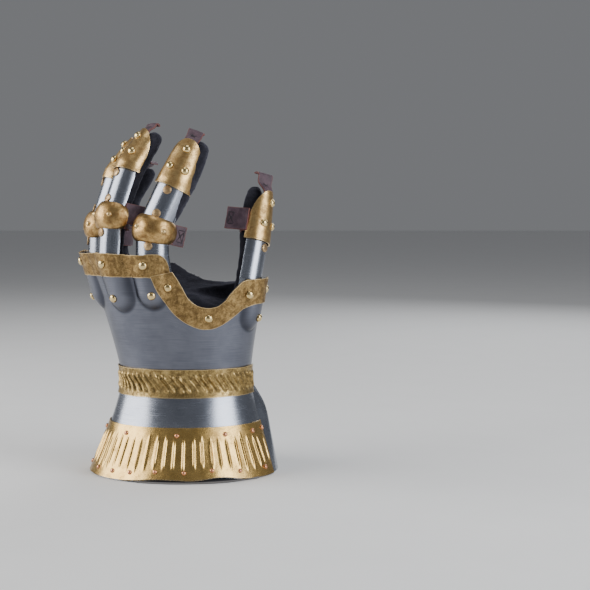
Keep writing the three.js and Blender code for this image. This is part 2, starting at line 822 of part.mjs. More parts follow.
function palmTop(angle) {
  const wrapped = angle > 180 ? angle - 360 : angle;
  const across = Math.min(1, Math.abs(wrapped - 21) / 32);
  const notch = Math.cos((across * Math.PI) / 2) ** 2;
  const thumbSide = THREE.MathUtils.smoothstep(wrapped, 20, 45) * (wrapped < 100 ? 1 : 0);
  return handLevel(lerp(lerp(0.74, 0.54, thumbSide), 0.5, notch));
}

function palmBody(inset, floor) {
  const shares = [0, 0.12, 0.26, 0.42, 0.56, 0.7, 0.85, 1];
  const angles = spaced(-120, 240, 24).slice(0, -1);
  const rings = shares.map((share) =>
    angles.map((angle) => {
      const height = lerp(floor, palmTop(angle) - inset, share);
      const clamped = Math.max(height, 0);
      const point = glovePalmPoint(angle < -115 ? angle + 360 : angle, clamped, inset);
      return point.setZ(height);
    }),
  );
  const top = planAt(handLevel(0.7));
  const floorCentre = new THREE.Vector3(0, 0, floor);
  const topCentre = new THREE.Vector3(top.x, top.y - 8, handLevel(0.7) - inset);
  return loft(rings, floorCentre, topCentre);
}

function gloveFinger(path, inset) {
  const last = path.joints.length - 1;
  const stations = [
    ...spaced(0, last - 1, last - 1),
    last - 0.25,
    last - inset / 60,
    last + 0.1 - inset / 60,
  ];
  const sides = 8;
  const turn = 360;
  const rings = stations.map((station) =>
    spaced(0, turn, sides)
      .slice(0, -1)
      .map((angle) => sleevePoint(path, station, angle, -inset)),
  );
  const end = frameAt(path, last + 0.14 - inset / 30).origin;
  return loft(rings, path.joints[0].clone(), end);
}

function glove(paths) {
  const hem = 0.2;
  const outer = joined([palmBody(0, hem), ...paths.map((path) => gloveFinger(path, 0))]);
  const inner = joined([
    palmBody(suedeThickness, -4),
    ...paths.map((path) => gloveFinger(path, suedeThickness)),
  ]);
  addPiece("glove", geometryOf(outer.subtract(inner)), "darkSuede");
}

const paths = digits.map(digitPath);
handPlate();
innerCuffPlate();
cuffBorder();
wristBand();
fingerBand();
thumbBand();
knuckleRivets();
for (const path of paths) {
  proximalPlate(path);
  if (path.joints.length > 4) {
    knuckleCup(path);
    middlePlate(path);
  }
  tipPlate(path);
  fingerStrap(path);
  loopStrap(path);
}
glove(paths);

// The origin is the middle of the underside of the whole
const bounds = new THREE.Box3().setFromObject(gauntlet);
const middle = bounds.getCenter(new THREE.Vector3());
gauntlet.position.set(-middle.x, -middle.y, -bounds.min.z);

export default gauntlet;
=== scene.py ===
import bpy
import bmesh
import math
import random
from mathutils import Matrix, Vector, noise


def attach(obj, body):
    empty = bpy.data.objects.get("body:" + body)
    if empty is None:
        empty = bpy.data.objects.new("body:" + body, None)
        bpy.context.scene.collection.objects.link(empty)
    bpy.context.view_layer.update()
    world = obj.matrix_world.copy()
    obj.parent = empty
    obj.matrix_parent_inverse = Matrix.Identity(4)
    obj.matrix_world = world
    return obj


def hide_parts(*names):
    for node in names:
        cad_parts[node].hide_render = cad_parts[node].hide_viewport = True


# A left-hand hourglass gauntlet. Sizes are in millimetres until a mesh is made, in the frame that the
# CAD source draws in, and frameShift takes them to the row frame.
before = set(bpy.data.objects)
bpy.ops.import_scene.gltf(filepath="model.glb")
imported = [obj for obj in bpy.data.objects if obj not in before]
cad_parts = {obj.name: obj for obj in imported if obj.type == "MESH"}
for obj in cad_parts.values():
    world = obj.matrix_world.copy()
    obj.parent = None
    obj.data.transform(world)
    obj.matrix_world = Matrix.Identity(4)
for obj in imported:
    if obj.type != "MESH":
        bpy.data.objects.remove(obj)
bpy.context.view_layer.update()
random.seed(7)

mm = 0.001
frameShift = Vector((6.9588, 1.4337, 0.0))

# Camera at the place that the photograph was taken from
view = {"place": (93.96, -1158.57, 230.0), "tilt": 4.4, "lens": 88.0, "sensor": 36.0}
cameraData = bpy.data.cameras.new("camera")
cameraData.lens = view["lens"]
cameraData.sensor_width = view["sensor"]
camera = bpy.data.objects.new("camera", cameraData)
camera.location = Vector(view["place"]) * mm
camera.rotation_euler = (math.radians(90.0 - view["tilt"]), 0.0, 0.0)
bpy.context.scene.collection.objects.link(camera)
bpy.context.scene.camera = camera
print("camera set")

# Numbers shared by the pieces
bevels = {"plate": 0.3, "band": 0.25, "digit": 0.28, "leather": 0.3, "hem": 0.2}
thick = {"steel": 1.2, "brass": 0.9, "leather": 1.6, "suede": 1.8, "gap": 0.35, "rest": 0.12}
cuff = {"halfWidth": 76.5, "halfDepth": 66.0, "sideShift": -1.2, "flare": 1.34}
wrist = {"halfWidth": 52.0, "halfDepth": 40.0, "height": 74.0, "sideShift": -0.8}
hand = {
    "halfWidth": 76.0,
    "halfDepth": 57.0,
    "height": 102.0,
    "sideShift": -6.2,
    "backShift": 5.0,
    "flare": 1.3,
    "squareness": 0.4,
}
seams = {"little": -130.0, "thumb": 104.0, "cuff": 70.0, "wrist": 88.0, "tuck": 9.0}

# How the bosses look. angle and span name the columns that place them, and the last entry holds the distances
# from the middle line where the painted shade on their sides and at their feet starts, is full, fades and
# ends.
bossShape = {
    "angle": "angle",
    "span": "halfSpan",
    "height": 5.6,
    "fade": 0.75,
    "fadeStart": 0.3,
    "roundness": 0.13,
    "fullness": 0.95,
    "painted_shade": (0.5, 0.97, 1.0, 1.2),
}

# The bosses as the solids have them, which the fingers are placed under
coarseBoss = {
    "angle": "wideAngle",
    "span": "wideSpan",
    "height": 4.0,
    "fade": 0.45,
    "fadeStart": 0.3,
    "roundness": 0.17,
}

# Knuckle bosses: place and half width in degrees, foot and rivet as shares of the hand's height
bossColumns = ("name", "angle", "halfSpan", "wideAngle", "wideSpan", "bottom", "rivetAngle", "rivet")
bossRows = [
    ("index", -16.2, 10.6, -16.5, 13.0, 0.575, -14.8, 0.684),
    ("middle", -40.5, 11.5, -43.0, 12.5, 0.55, -42.4, 0.656),
    ("ring", -76.5, 14.5, -79.0, 17.0, 0.55, -81.0, 0.652),
    ("little", -110.5, 12.0, -112.0, 12.0, 0.56, -111.0, 0.65),
    ("thumb", 64.0, 15.0, 64.0, 17.0, 0.39, 66.0, 0.49),
]
bosses = [dict(zip(bossColumns, row)) for row in bossRows]

# Edges of the thumb band, from its seam on the finger band round the notch to the thumb
bandColumns = ("share", "upperAngle", "upper", "lowerAngle", "lower")
bandRows = [
    (0.0, -1.0, 0.868, -13.7, 0.836),
    (0.14, 3.7, 0.761, -9.8, 0.683),
    (0.28, 8.3, 0.656, -2.9, 0.547),
    (0.4, 16.1, 0.595, 8.0, 0.455),
    (0.5, 25.6, 0.59, 20.0, 0.419),
    (0.6, 32.4, 0.634, 31.0, 0.444),
    (0.7, 39.4, 0.73, 42.4, 0.518),
    (0.8, 47.0, 0.79, 54.7, 0.597),
    (0.9, 62.0, 0.8, 74.0, 0.607),
    (1.0, 102.0, 0.79, 102.0, 0.607),
]
thumbBandEdges = [dict(zip(bandColumns, row)) for row in bandRows]


def lerp(a, b, share):
    return a + (b - a) * share


def clamp(value, low, high):
    return max(low, min(high, value))


def smoothstep(value, low, high):
    share = clamp((value - low) / (high - low), 0.0, 1.0)
    return share * share * (3.0 - 2.0 * share)


def spaced(low, high, intervals):
    return [lerp(low, high, i / intervals) for i in range(intervals + 1)]


# Rows of a table in the order of a key, the last one before the key, and the share of the way to the next
def rowsAround(table, keyName, key):
    rows = sorted(table, key=lambda row: row[keyName])
    key = clamp(key, rows[0][keyName], rows[-1][keyName])
    i = 0
    while key > rows[i + 1][keyName]:
        i += 1
    return rows, i, (key - rows[i][keyName]) / (rows[i + 1][keyName] - rows[i][keyName])


# Value of a column of a table at a key, on straight lines between its rows
def straightValue(table, keyName, key, valueName):
    rows, i, share = rowsAround(table, keyName, key)
    return lerp(rows[i][valueName], rows[i + 1][valueName], share)


# The same along a smooth curve through the rows
def tableValue(table, keyName, key, valueName):
    rows, i, share = rowsAround(table, keyName, key)
    low, high = rows[i], rows[i + 1]
    width = high[keyName] - low[keyName]

    def slope(first, last):
        return (last[valueName] - first[valueName]) / (last[keyName] - first[keyName]) * width

    square, cube = share * share, share * share * share
    value = (2 * cube - 3 * square + 1) * low[valueName]
    value += (cube - 2 * square + share) * slope(rows[max(i - 1, 0)], high)
    value += (3 * square - 2 * cube) * high[valueName]
    return value + (cube - square) * slope(low, rows[min(i + 2, len(rows) - 1)])


def handLevel(share):
    return wrist["height"] + hand["height"] * share


# Plan of the main plate at a height
def planAt(height):
    if height > wrist["height"]:
        share = (height - wrist["height"]) / hand["height"]
        flare = share ** hand["flare"]
        return {
            "x": wrist["sideShift"] + hand["sideShift"] * share,
            "y": hand["backShift"] * share,
            "halfWidth": lerp(wrist["halfWidth"], hand["halfWidth"], flare),
            "halfDepth": lerp(wrist["halfDepth"], hand["halfDepth"], flare),
            "power": 2.0 + hand["squareness"] * share,
        }
    share = (wrist["height"] - height) / wrist["height"]
    flare = share ** cuff["flare"]
    return {
        "x": wrist["sideShift"] + cuff["sideShift"] * share,
        "y": 0.0,
        "halfWidth": lerp(wrist["halfWidth"], cuff["halfWidth"], flare),
        "halfDepth": lerp(wrist["halfDepth"], cuff["halfDepth"], flare),
        "power": 2.0,
    }


# Distance from the middle line of a boss, 1 at its outline, and how much of its height is left there
def bossPlace(boss, shape, angle, height):
    level = (height - wrist["height"]) / hand["height"]
    across = (angle - boss[shape["angle"]]) / boss[shape["span"]]
    below = max(0.0, 1.0 - (level - boss["bottom"]) / shape["roundness"])
    along = (level - boss["bottom"]) / (1.0 - boss["bottom"])
    return math.hypot(across, below), 1.0 - shape["fade"] * max(0.0, along - shape["fadeStart"])


# Height of the knuckle bosses, like half fingers with round feet
def bossRelief(angle, height):
    relief = 0.0
    for boss in bosses:
        distance, fade = bossPlace(boss, bossShape, angle, height)
        if distance < 1.0:
            relief += bossShape["height"] * fade * (1.0 - distance ** 2) ** bossShape["fullness"]
    return relief


def coarseRelief(angle, height):
    relief = 0.0
    for boss in bosses:
        distance, fade = bossPlace(boss, coarseBoss, angle, height)
        if distance < 1.0:
            relief += coarseBoss["height"] * fade * math.cos(distance * math.pi / 2.0) ** 2
    return relief


# Share of the painted shade that darkens the sides of the bosses and the crease at their feet
def bossPaintedShade(angle, height):
    start, full, fade, end = bossShape["painted_shade"]
    share = 0.0
    for boss in bosses:
        distance, _ = bossPlace(boss, bossShape, angle, height)
        share = max(share, smoothstep(distance, start, full) * (1.0 - smoothstep(distance, fade, end)))
    return share


def plainShellPoint(angle, height, offset):
    plan = planAt(height)
    sine = math.sin(math.radians(angle))
    cosine = math.cos(math.radians(angle))
    power = plan["power"]
    stretch = (abs(sine) ** power + abs(cosine) ** power) ** (-1.0 / power)
    return Vector((
        plan["x"] + (plan["halfWidth"] * stretch + offset) * sine,
        plan["y"] - (plan["halfDepth"] * stretch + offset) * cosine,
        height,
    ))


def shellPoint(angle, height, offset):
    return plainShellPoint(angle, height, offset + bossRelief(angle, height))


def shellNormal(angle, height):
    step = 0.5
    across = shellPoint(angle + step, height, 0.0) - shellPoint(angle - step, height, 0.0)
    up = shellPoint(angle, height + step, 0.0) - shellPoint(angle, height - step, 0.0)
    return across.cross(up).normalized()


def seamAngle(height):
    if height < wrist["height"]:
        return lerp(seams["cuff"], seams["wrist"], height / wrist["height"])
    share = smoothstep(height, wrist["height"], handLevel(0.35))
    return lerp(seams["wrist"], seams["thumb"], share)


# Finger band: its width, the round corner at its thumb end, how far the steel stays below its edge, the wave
# of that edge and the curl of its other end
fingerBandShape = {"width": 18.0, "corner": 6.3, "end": -2.7, "inset": 0.7, "wave": 0.7, "curl": 0.5}


def fingerBandTop(angle):
    start = fingerBandShape["end"] - fingerBandShape["corner"]
    across = clamp((angle - start) / fingerBandShape["corner"], 0.0, 1.0)
    share = math.sqrt(1.0 - across * across)
    return handLevel(lerp(thumbBandEdges[0]["upper"], 1.0, share))


def plateTop(angle):
    if angle < fingerBandShape["end"]:
        return fingerBandTop(angle) - fingerBandShape["inset"]
    top = tableValue(thumbBandEdges, "upperAngle", angle, "upper")
    return handLevel(top) - fingerBandShape["inset"]


# How far the rim of the cuff is lifted off the floor where the hem shows under it
rimLifts = [{"angle": 24.0, "width": 13.0, "rise": 3.6}, {"angle": -10.0, "width": 19.0, "rise": 2.8}]


def rimLift(angle):
    return sum(lift["rise"] * math.exp(-((angle - lift["angle"]) / lift["width"]) ** 2) for lift in rimLifts)


# The same lift at a height on the cuff, where it fades out
def liftAt(angle, height):
    return rimLift(angle) * (1.0 - smoothstep(height, 0.0, 30.0))


# Share that rises from 0 at low and falls to 0 again at high, over a soft width at each end
def between(value, low, high, soft):
    return smoothstep(value, low, low + soft) * (1.0 - smoothstep(value, high - soft, high))


def wobble(place, size, seed):
    return noise.noise(Vector(place) / size + Vector((seed, seed * 0.37, seed * 0.71)))


# Sum of several wobbles, each with its height, size and seed
def dents(place, rows):
    return sum(height * wobble(place, size, seed) for height, size, seed in rows)


# Level direction at an angle, 0 towards the camera
def levelWay(angle):
    turn = math.radians(angle)
    return Vector((math.sin(turn), -math.cos(turn), 0.0))


# Gives a mesh one number at each point
def setNumbers(mesh, name, values):
    mesh.attributes.new(name, "FLOAT", "POINT").data.foreach_set("value", values)


def setSmooth(mesh):
    mesh.polygons.foreach_set("use_smooth", [True] * len(mesh.polygons))


# Makes an object of points in millimetres, with a map of its grain and the distance to its edge
def makeObject(name, points, faces, grain=None, edge=None):
    mesh = bpy.data.meshes.new(name)
    mesh.from_pydata([(point + frameShift) * mm for point in points], [], faces)
    shaped = bmesh.new()
    shaped.from_mesh(mesh)
    bmesh.ops.recalc_face_normals(shaped, faces=shaped.faces)
    shaped.to_mesh(mesh)
    shaped.free()
    setSmooth(mesh)
    if grain:
        layer = mesh.uv_layers.new(name="grain")
        for loop in mesh.loops:
            layer.data[loop.index].uv = grain[loop.vertex_index]
    if edge:
        setNumbers(mesh, "edge", edge)
    piece = bpy.data.objects.new(name, mesh)
    bpy.context.scene.collection.objects.link(piece)
    return piece


# Distance of each point from the first, along the line through them
def lengths(line):
    sums = [0.0]
    for here, there in zip(line, line[1:]):
        sums.append(sums[-1] + (there - here).length)
    return sums


# A closed sheet over a grid. pointAt(u, v, side) gives its inner face for side 0, its outer for side 1.
def sheet(name, us, vs, pointAt, bevel):
    columns, rows = len(us), len(vs)
    points = [pointAt(u, v, side) for side in (0, 1) for v in vs for u in us]

    def at(i, j, side):
        return side * columns * rows + j * columns + i

    faces = []
    for j in range(rows - 1):
        for i in range(columns - 1):
            faces.append((at(i, j, 1), at(i + 1, j, 1), at(i + 1, j + 1, 1), at(i, j + 1, 1)))
            faces.append((at(i, j, 0), at(i, j + 1, 0), at(i + 1, j + 1, 0), at(i + 1, j, 0)))
    border = [(i, 0) for i in range(columns)]
    border += [(columns - 1, j) for j in range(1, rows)]
    border += [(i, rows - 1) for i in range(columns - 2, -1, -1)]
    border += [(0, j) for j in range(rows - 2, 0, -1)]
    for here, there in zip(border, border[1:] + border[:1]):
        faces.append((at(*here, 0), at(*there, 0), at(*there, 1), at(*here, 1)))
    along = lengths([points[at(i, rows // 2, 1)] for i in range(columns)])
    up = lengths([points[at(columns // 2, j, 1)] for j in range(rows)])
    grain, edge = [], []
    for side in (0, 1):
        for j in range(rows):
            for i in range(columns):
                grain.append((along[i], up[j]))
                edge.append(min(along[i], along[-1] - along[i], up[j], up[-1] - up[j]))
    piece = makeObject(name, points, faces, grain, edge)
    soften(piece, bevel)
    return piece


def soften(piece, width):
    modifier = piece.modifiers.new("edges", "BEVEL")
    modifier.width = width * mm
    modifier.segments = 2
    modifier.limit_method = "ANGLE"
    modifier.angle_limit = math.radians(50.0)
    modifier.harden_normals = True


# Faces between rings of points, with count points in each
def ringFaces(rings, count):
    faces = []
    for j in range(rings - 1):
        for i in range(count):
            k = (i + 1) % count
            faces.append((j * count + i, j * count + k, (j + 1) * count + k, (j + 1) * count + i))
    return faces


# The same with a flat face at each end
def cappedFaces(rings, count):
    ends = [tuple(range(count - 1, -1, -1)), tuple(range((rings - 1) * count, rings * count))]
    return ringFaces(rings, count) + ends


def circlePoints(centre, way, radius, height, sides):
    spin = way.to_track_quat("Z", "Y")
    turns = [2.0 * math.pi * i / sides for i in range(sides)]
    return [centre + spin @ Vector((radius * math.cos(a), radius * math.sin(a), height)) for a in turns]


# A turned shape on a point of a surface. profile holds radius and height pairs from foot to top.
def lathePoints(point, normal, profile, sides):
    points = []
    for radius, height in profile:
        points += circlePoints(point, normal, radius, height, sides)
    return points, cappedFaces(len(profile), sides)


# A domed head: an upright rim and an ellipse over it
def domeProfile(radius, height):
    rim, steps = 0.18, 7
    profile = [(radius * 0.9, -0.5), (radius * 0.97, 0.0), (radius, rim)]
    for i in range(1, steps + 1):
        angle = 0.5 * math.pi * i / steps
        profile.append((max(radius * math.cos(angle), 0.05), rim + (height - rim) * math.sin(angle)))
    return profile


def flatProfile(radius, height):
    return [(radius, -0.5), (radius, height * 0.65), (radius * 0.93, height * 0.95), (0.4, height)]


def nippleProfile(radius, height):
    shape = [(1.35, -0.5), (1.3, 0.0), (1.0, 0.25), (0.95, 0.6), (0.75, 0.88), (0.35, 1.0), (0.05, 1.03)]
    return [(radius * wide, height * tall if tall > 0 else tall) for wide, tall in shape]


# Several closed shapes as one object
def bundle(name, shapes):
    points, faces = [], []
    for shapePoints, shapeFaces in shapes:
        start = len(points)
        points += shapePoints
        faces += [tuple(start + i for i in face) for face in shapeFaces]
    return makeObject(name, points, faces)


# A thread through points
def tubePoints(path, radius, sides=8):
    points = []
    for i, point in enumerate(path):
        ahead = path[min(i + 1, len(path) - 1)] - path[max(i - 1, 0)]
        points += circlePoints(point, ahead, radius, 0.0, sides)
    return points, cappedFaces(len(path), sides)


# Numbers on the way through a material, which are added, subtracted and multiplied as numbers are
class Field:
    def __init__(self, shade, socket):
        self.shade = shade
        self.socket = socket

    def __add__(self, other):
        return self.shade.math("ADD", self, other)

    def __radd__(self, other):
        return self.shade.math("ADD", other, self)

    def __sub__(self, other):
        return self.shade.math("SUBTRACT", self, other)

    def __rsub__(self, other):
        return self.shade.math("SUBTRACT", other, self)

    def __mul__(self, other):
        return self.shade.math("MULTIPLY", self, other)

    def __rmul__(self, other):
        return self.shade.math("MULTIPLY", other, self)


# A material and the nodes in it
class Shade:
    def __init__(self, name):
        self.material = bpy.data.materials.new(name)
        self.material.use_nodes = True
        self.tree = self.material.node_tree
        self.tree.nodes.clear()
        place = self.node("TexCoord")
        inputs = {"Vector": place.outputs["Object"], "Scale": 1 / mm}
        self.place = self.node("VectorMath", {"operation": "SCALE"}, inputs).outputs["Vector"]
        self.grain = place.outputs["UV"]

    def node(self, kind, settings=None, inputs=None):
        node = self.tree.nodes.new("ShaderNode" + kind)
        for key, value in (settings or {}).items():
            setattr(node, key, value)
        for key, value in (inputs or {}).items():
            self.feed(node.inputs[key], value)
        return node

    def feed(self, socket, value):
        if isinstance(value, Field):
            value = value.socket
        if isinstance(value, bpy.types.NodeSocket):
            self.tree.links.new(value, socket)
        else:
            socket.default_value = value

    def math(self, operation, first, second):
        node = self.node("Math", {"operation": operation}, {0: first, 1: second})
        return Field(self, node.outputs[0])

    def attribute(self, name):
        return Field(self, self.node("Attribute", {"attribute_name": name}).outputs["Fac"])

    def height(self):
        node = self.node("SeparateXYZ", None, {0: self.place})
        return Field(self, node.outputs["Z"])

    def stretched(self, vector, factors):
        node = self.node("VectorMath", {"operation": "MULTIPLY"}, {0: vector, 1: factors})
        return node.outputs["Vector"]

    # Noise with features of about size millimetres
    def noise(self, size, detail=3.0, vector=None, rough=0.55, distortion=0.0):
        inputs = {
            "Vector": vector or self.place,
            "Scale": 1.0 / size,
            "Detail": detail,
            "Roughness": rough,
            "Distortion": distortion,
        }
        return Field(self, self.node("TexNoise", None, inputs).outputs["Fac"])

    def cells(self, size):
        inputs = {"Vector": self.place, "Scale": 1.0 / size}
        return Field(self, self.node("TexVoronoi", None, inputs).outputs["Distance"])

    # 0 below low, 1 above high, smooth between
    def ramp(self, field, low, high):
        inputs = {"Value": field, "From Min": low, "From Max": high}
        node = self.node("MapRange", {"interpolation_type": "SMOOTHSTEP"}, inputs)
        return Field(self, node.outputs["Result"])

    def mix(self, factor, first, second):
        inputs = {0: factor, 6: first, 7: second}
        node = self.node("Mix", {"data_type": "RGBA", "clamp_factor": True}, inputs)
        return node.outputs[2]

    def bump(self, height, strength, distance):
        inputs = {"Height": height, "Strength": strength, "Distance": distance * mm}
        return self.node("Bump", None, inputs).outputs["Normal"]

    def finish(self, inputs):
        surface = self.node("BsdfPrincipled", None, inputs)
        output = self.node("OutputMaterial")
        self.tree.links.new(surface.outputs[0], output.inputs["Surface"])
        return self.material


def colour(red, green, blue):
    return (red, green, blue, 1.0)


# Brushed steel. grain is how fine the brushing is across and along a piece, under is the look of its cuff.
steelLooks = {
    "steel_hand": {
        "dark": colour(0.12, 0.127, 0.158),
        "light": colour(0.19, 0.20, 0.24),
        "roughness": 0.33,
        "grain": (0.035, 4.2, 1.0),
        "bump": 0.1,
        "under": "steel_bright",
    },
    "steel_bright": {
        "dark": colour(0.27, 0.29, 0.345),
        "light": colour(0.39, 0.415, 0.475),
        "roughness": 0.25,
        "grain": (3.0, 0.045, 1.0),
        "bump": 0.05,
        "under": None,
    },
}
steelMarks = {
    "smudge": 24.0,
    "pit": 0.9,
    "scratches": (0.05, 0.11, 1.9),
    # Colour of the painted shade on the sides and at the feet of the knuckle bosses
    "painted_shade": colour(0.03, 0.032, 0.045),
    "pitted": colour(0.12, 0.12, 0.14),
    "cuffEnd": (66.0, 82.0),
}


def steel(shade, look):
    settings = steelLooks[look]
    brushed = shade.noise(1.0, 3.0, shade.stretched(shade.grain, settings["grain"]))
    smudge = shade.noise(steelMarks["smudge"], 3.0, None, 0.6)
    scratch = shade.noise(1.0, 1.0, shade.stretched(shade.place, steelMarks["scratches"]), 0.4)
    lines = shade.ramp(scratch, 0.66, 0.74)
    pits = shade.ramp(shade.noise(steelMarks["pit"], 1.0), 0.74, 0.8)
    tone = shade.ramp(brushed + 0.6 * (smudge - 0.5), 0.25, 0.75)
    base = shade.mix(tone, settings["dark"], settings["light"])
    roughness = settings["roughness"] + 0.12 * (smudge - 0.5) + 0.09 * (brushed - 0.5) + 0.06 * lines
    height = brushed * 1.0 + lines * 0.25 - pits * 0.4
    if settings["under"]:
        # Painted shade on the sides of the knuckle bosses and in the crease at their feet, from a number at
        # each point
        base = shade.mix(shade.attribute("painted_shade") * 0.7, base, steelMarks["painted_shade"])
        under = steelLooks[settings["under"]]
        share = 1.0 - shade.ramp(shade.height(), *steelMarks["cuffEnd"])
        base = shade.mix(share, base, shade.mix(tone, under["dark"], under["light"]))
        roughness = roughness + share * (under["roughness"] - settings["roughness"])
    base = shade.mix(pits * 0.5, base, steelMarks["pitted"])
    return shade.finish({
        "Base Color": base,
        "Roughness": roughness,
        "Metallic": 1.0,
        "Normal": shade.bump(height, settings["bump"], 0.06),
    })


# Brass and copper: clean, mid and dark colours, share of patina, size of its blotches, roughness, pitting
# and share of worn edges
brassColumns = ("name", "clean", "mid", "dark", "patina", "blotch", "roughness", "bump", "edge")
brassRows = [
    ("brass_polished", (0.74, 0.49, 0.17), (0.6, 0.385, 0.125), (0.15, 0.085, 0.03), 0.3, 15, 0.26, 0.3, 0.3),
    ("brass_wrist", (0.60, 0.43, 0.18), (0.40, 0.275, 0.10), (0.10, 0.065, 0.027), 0.5, 5.0, 0.3, 0.45, 0.6),
    ("brass_aged", (0.5, 0.34, 0.145), (0.35, 0.225, 0.085), (0.12, 0.072, 0.03), 0.52, 4.2, 0.36, 0.5, 0.75),
    ("brass_tip", (0.72, 0.50, 0.22), (0.55, 0.35, 0.14), (0.18, 0.10, 0.04), 0.42, 8.0, 0.3, 0.3, 0.7),
    ("brass_cup", (0.64, 0.42, 0.17), (0.44, 0.265, 0.10), (0.13, 0.07, 0.028), 0.45, 7.0, 0.3, 0.35, 0.5),
    ("rivet_brass", (0.84, 0.66, 0.33), (0.66, 0.48, 0.21), (0.25, 0.16, 0.07), 0.22, 4.0, 0.2, 0.2, 0.0),
    ("brass_disc", (0.66, 0.47, 0.25), (0.50, 0.34, 0.17), (0.22, 0.13, 0.07), 0.45, 3.0, 0.36, 0.3, 0.0),
    ("copper", (0.80, 0.40, 0.22), (0.62, 0.29, 0.17), (0.20, 0.08, 0.05), 0.35, 2.5, 0.25, 0.25, 0.0),
]
brassLooks = {row[0]: dict(zip(brassColumns, row)) for row in brassRows}
brassWear = {"grit": 0.75, "speck": 1.3, "scratches": (0.35, 0.2, 1.6), "edge": colour(0.88, 0.66, 0.34)}


def brass(shade, look):
    settings = brassLooks[look]
    blotch = shade.noise(settings["blotch"], 5.0, None, 0.62, 0.6)
    grit = shade.noise(brassWear["grit"], 4.0, None, 0.7)
    specks = shade.ramp(shade.noise(brassWear["speck"], 2.0, None, 0.6), 0.62, 0.72)
    scratch = shade.noise(1.0, 2.0, shade.stretched(shade.place, brassWear["scratches"]), 0.5)
    clear = 1.0 - settings["patina"]
    patina = shade.ramp(blotch + 0.55 * (grit - 0.5), clear - 0.22, clear + 0.2)
    tone = shade.ramp(shade.noise(settings["blotch"] * 0.4, 4.0) + 0.3 * (grit - 0.5), 0.3, 0.72)
    dark = colour(*settings["dark"])
    base = shade.mix(tone, colour(*settings["clean"]), colour(*settings["mid"]))
    base = shade.mix(patina * 0.85, base, dark)
    base = shade.mix(specks * settings["patina"] * 0.8, base, dark)
    roughness = settings["roughness"] + patina * 0.24 + 0.14 * (grit - 0.5) + 0.1 * (scratch - 0.5)
    if settings["edge"]:
        rim = 1.0 - shade.ramp(shade.attribute("edge") + 0.8 * (grit - 0.5), 0.1, 0.65)
        base = shade.mix(rim * settings["edge"], base, brassWear["edge"])
        roughness = roughness - rim * (0.12 * settings["edge"])
    height = grit * 0.5 + blotch * 0.6 - specks * 0.5 + scratch * 0.3
    return shade.finish({
        "Base Color": base,
        "Roughness": roughness,
        "Metallic": 1.0,
        "Normal": shade.bump(height, settings["bump"], 0.14),
    })


# Purple-brown leather with scuffs and reddish cut edges
leatherLook = {
    "dark": colour(0.05, 0.028, 0.041),
    "light": colour(0.105, 0.062, 0.082),
    "scuff": colour(0.17, 0.115, 0.13),
    "edge": colour(0.19, 0.055, 0.04),
}


def leather(shade):
    wear = shade.noise(6.0, 4.0)
    pores = shade.cells(0.9)
    fibre = shade.noise(0.5, 3.0)
    tone = shade.ramp(wear + 0.3 * (fibre - 0.5), 0.3, 0.7)
    base = shade.mix(tone, leatherLook["dark"], leatherLook["light"])
    scuff = shade.ramp(shade.noise(2.2, 4.0, None, 0.7), 0.6, 0.75)
    base = shade.mix(scuff * 0.5, base, leatherLook["scuff"])
    rim = 1.0 - shade.ramp(shade.attribute("edge") + 0.7 * (fibre - 0.5), 0.15, 0.7)
    base = shade.mix(rim * 0.7, base, leatherLook["edge"])
    return shade.finish({
        "Base Color": base,
        "Roughness": 0.62 + 0.2 * (wear - 0.5),
        "Metallic": 0.0,
        "Normal": shade.bump(pores * 0.6 + fibre * 0.4 + wear * 0.5, 0.55, 0.35),
    })


def suede(shade):
    nap = shade.noise(0.6, 4.0, None, 0.75)
    patch = shade.noise(9.0, 4.0, None, 0.6)
    tone = shade.ramp(nap + 0.6 * (patch - 0.5), 0.3, 0.75)
    return shade.finish({
        "Base Color": shade.mix(tone, colour(0.008, 0.008, 0.012), colour(0.038, 0.037, 0.05)),
        "Roughness": 0.95,
        "Metallic": 0.0,
        "Specular IOR Level": 0.2,
        "Sheen Weight": 0.35,
        "Sheen Roughness": 0.5,
        "Sheen Tint": colour(0.30, 0.31, 0.42),
        "Normal": shade.bump(nap + patch * 0.8, 0.6, 0.5),
    })


# The hem, with a pale worn edge
def hem(shade):
    nap = shade.noise(0.6, 4.0, None, 0.75)
    base = shade.mix(nap, colour(0.010, 0.010, 0.014), colour(0.045, 0.045, 0.055))
    rim = 1.0 - shade.ramp(shade.attribute("edge") + 0.6 * (nap - 0.5), 0.1, 0.6)
    return shade.finish({
        "Base Color": shade.mix(rim * 0.7, base, colour(0.22, 0.21, 0.2)),
        "Roughness": 0.95,
        "Metallic": 0.0,
        "Normal": shade.bump(nap, 0.6, 0.4),
    })


def thread(shade):
    twist = shade.noise(0.25, 2.0)
    base = shade.mix(twist, colour(0.006, 0.006, 0.009), colour(0.03, 0.028, 0.035))
    return shade.finish({"Base Color": base, "Roughness": 0.75, "Normal": shade.bump(twist, 0.5, 0.1)})


def floorPaint(shade):
    base = shade.mix(shade.noise(60.0, 2.0), colour(0.80, 0.80, 0.80), colour(0.84, 0.84, 0.84))
    return shade.finish({"Base Color": base, "Roughness": 0.7})


recipes = {
    "purple_leather": leather,
    "dark_suede": suede,
    "suede_hem": hem,
    "thread": thread,
    "floor": floorPaint,
}
made = {}


# The material of a name, which is made once
def paint(name):
    if name not in made:
        shade = Shade(name)
        if name in steelLooks:
            made[name] = steel(shade, name)
        elif name in brassLooks:
            made[name] = brass(shade, name)
        else:
            made[name] = recipes[name](shade)
    return made[name]


# Gives a piece its material, fixes it to the root body and hides the CAD node that it stands for
def dress(piece, nodeName, materialName):
    piece.data.materials.append(paint(materialName))
    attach(piece, "root")
    if nodeName:
        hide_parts(nodeName)


# Main plate: one steel plate from the rim of the cuff to the fingers. Its rows are level up to a shared
# height, and its columns upright up to the last fixed one.
handPlateShape = {"cuffRows": 38, "handRows": 128, "shared": 0.34, "lastFixed": 50.0}


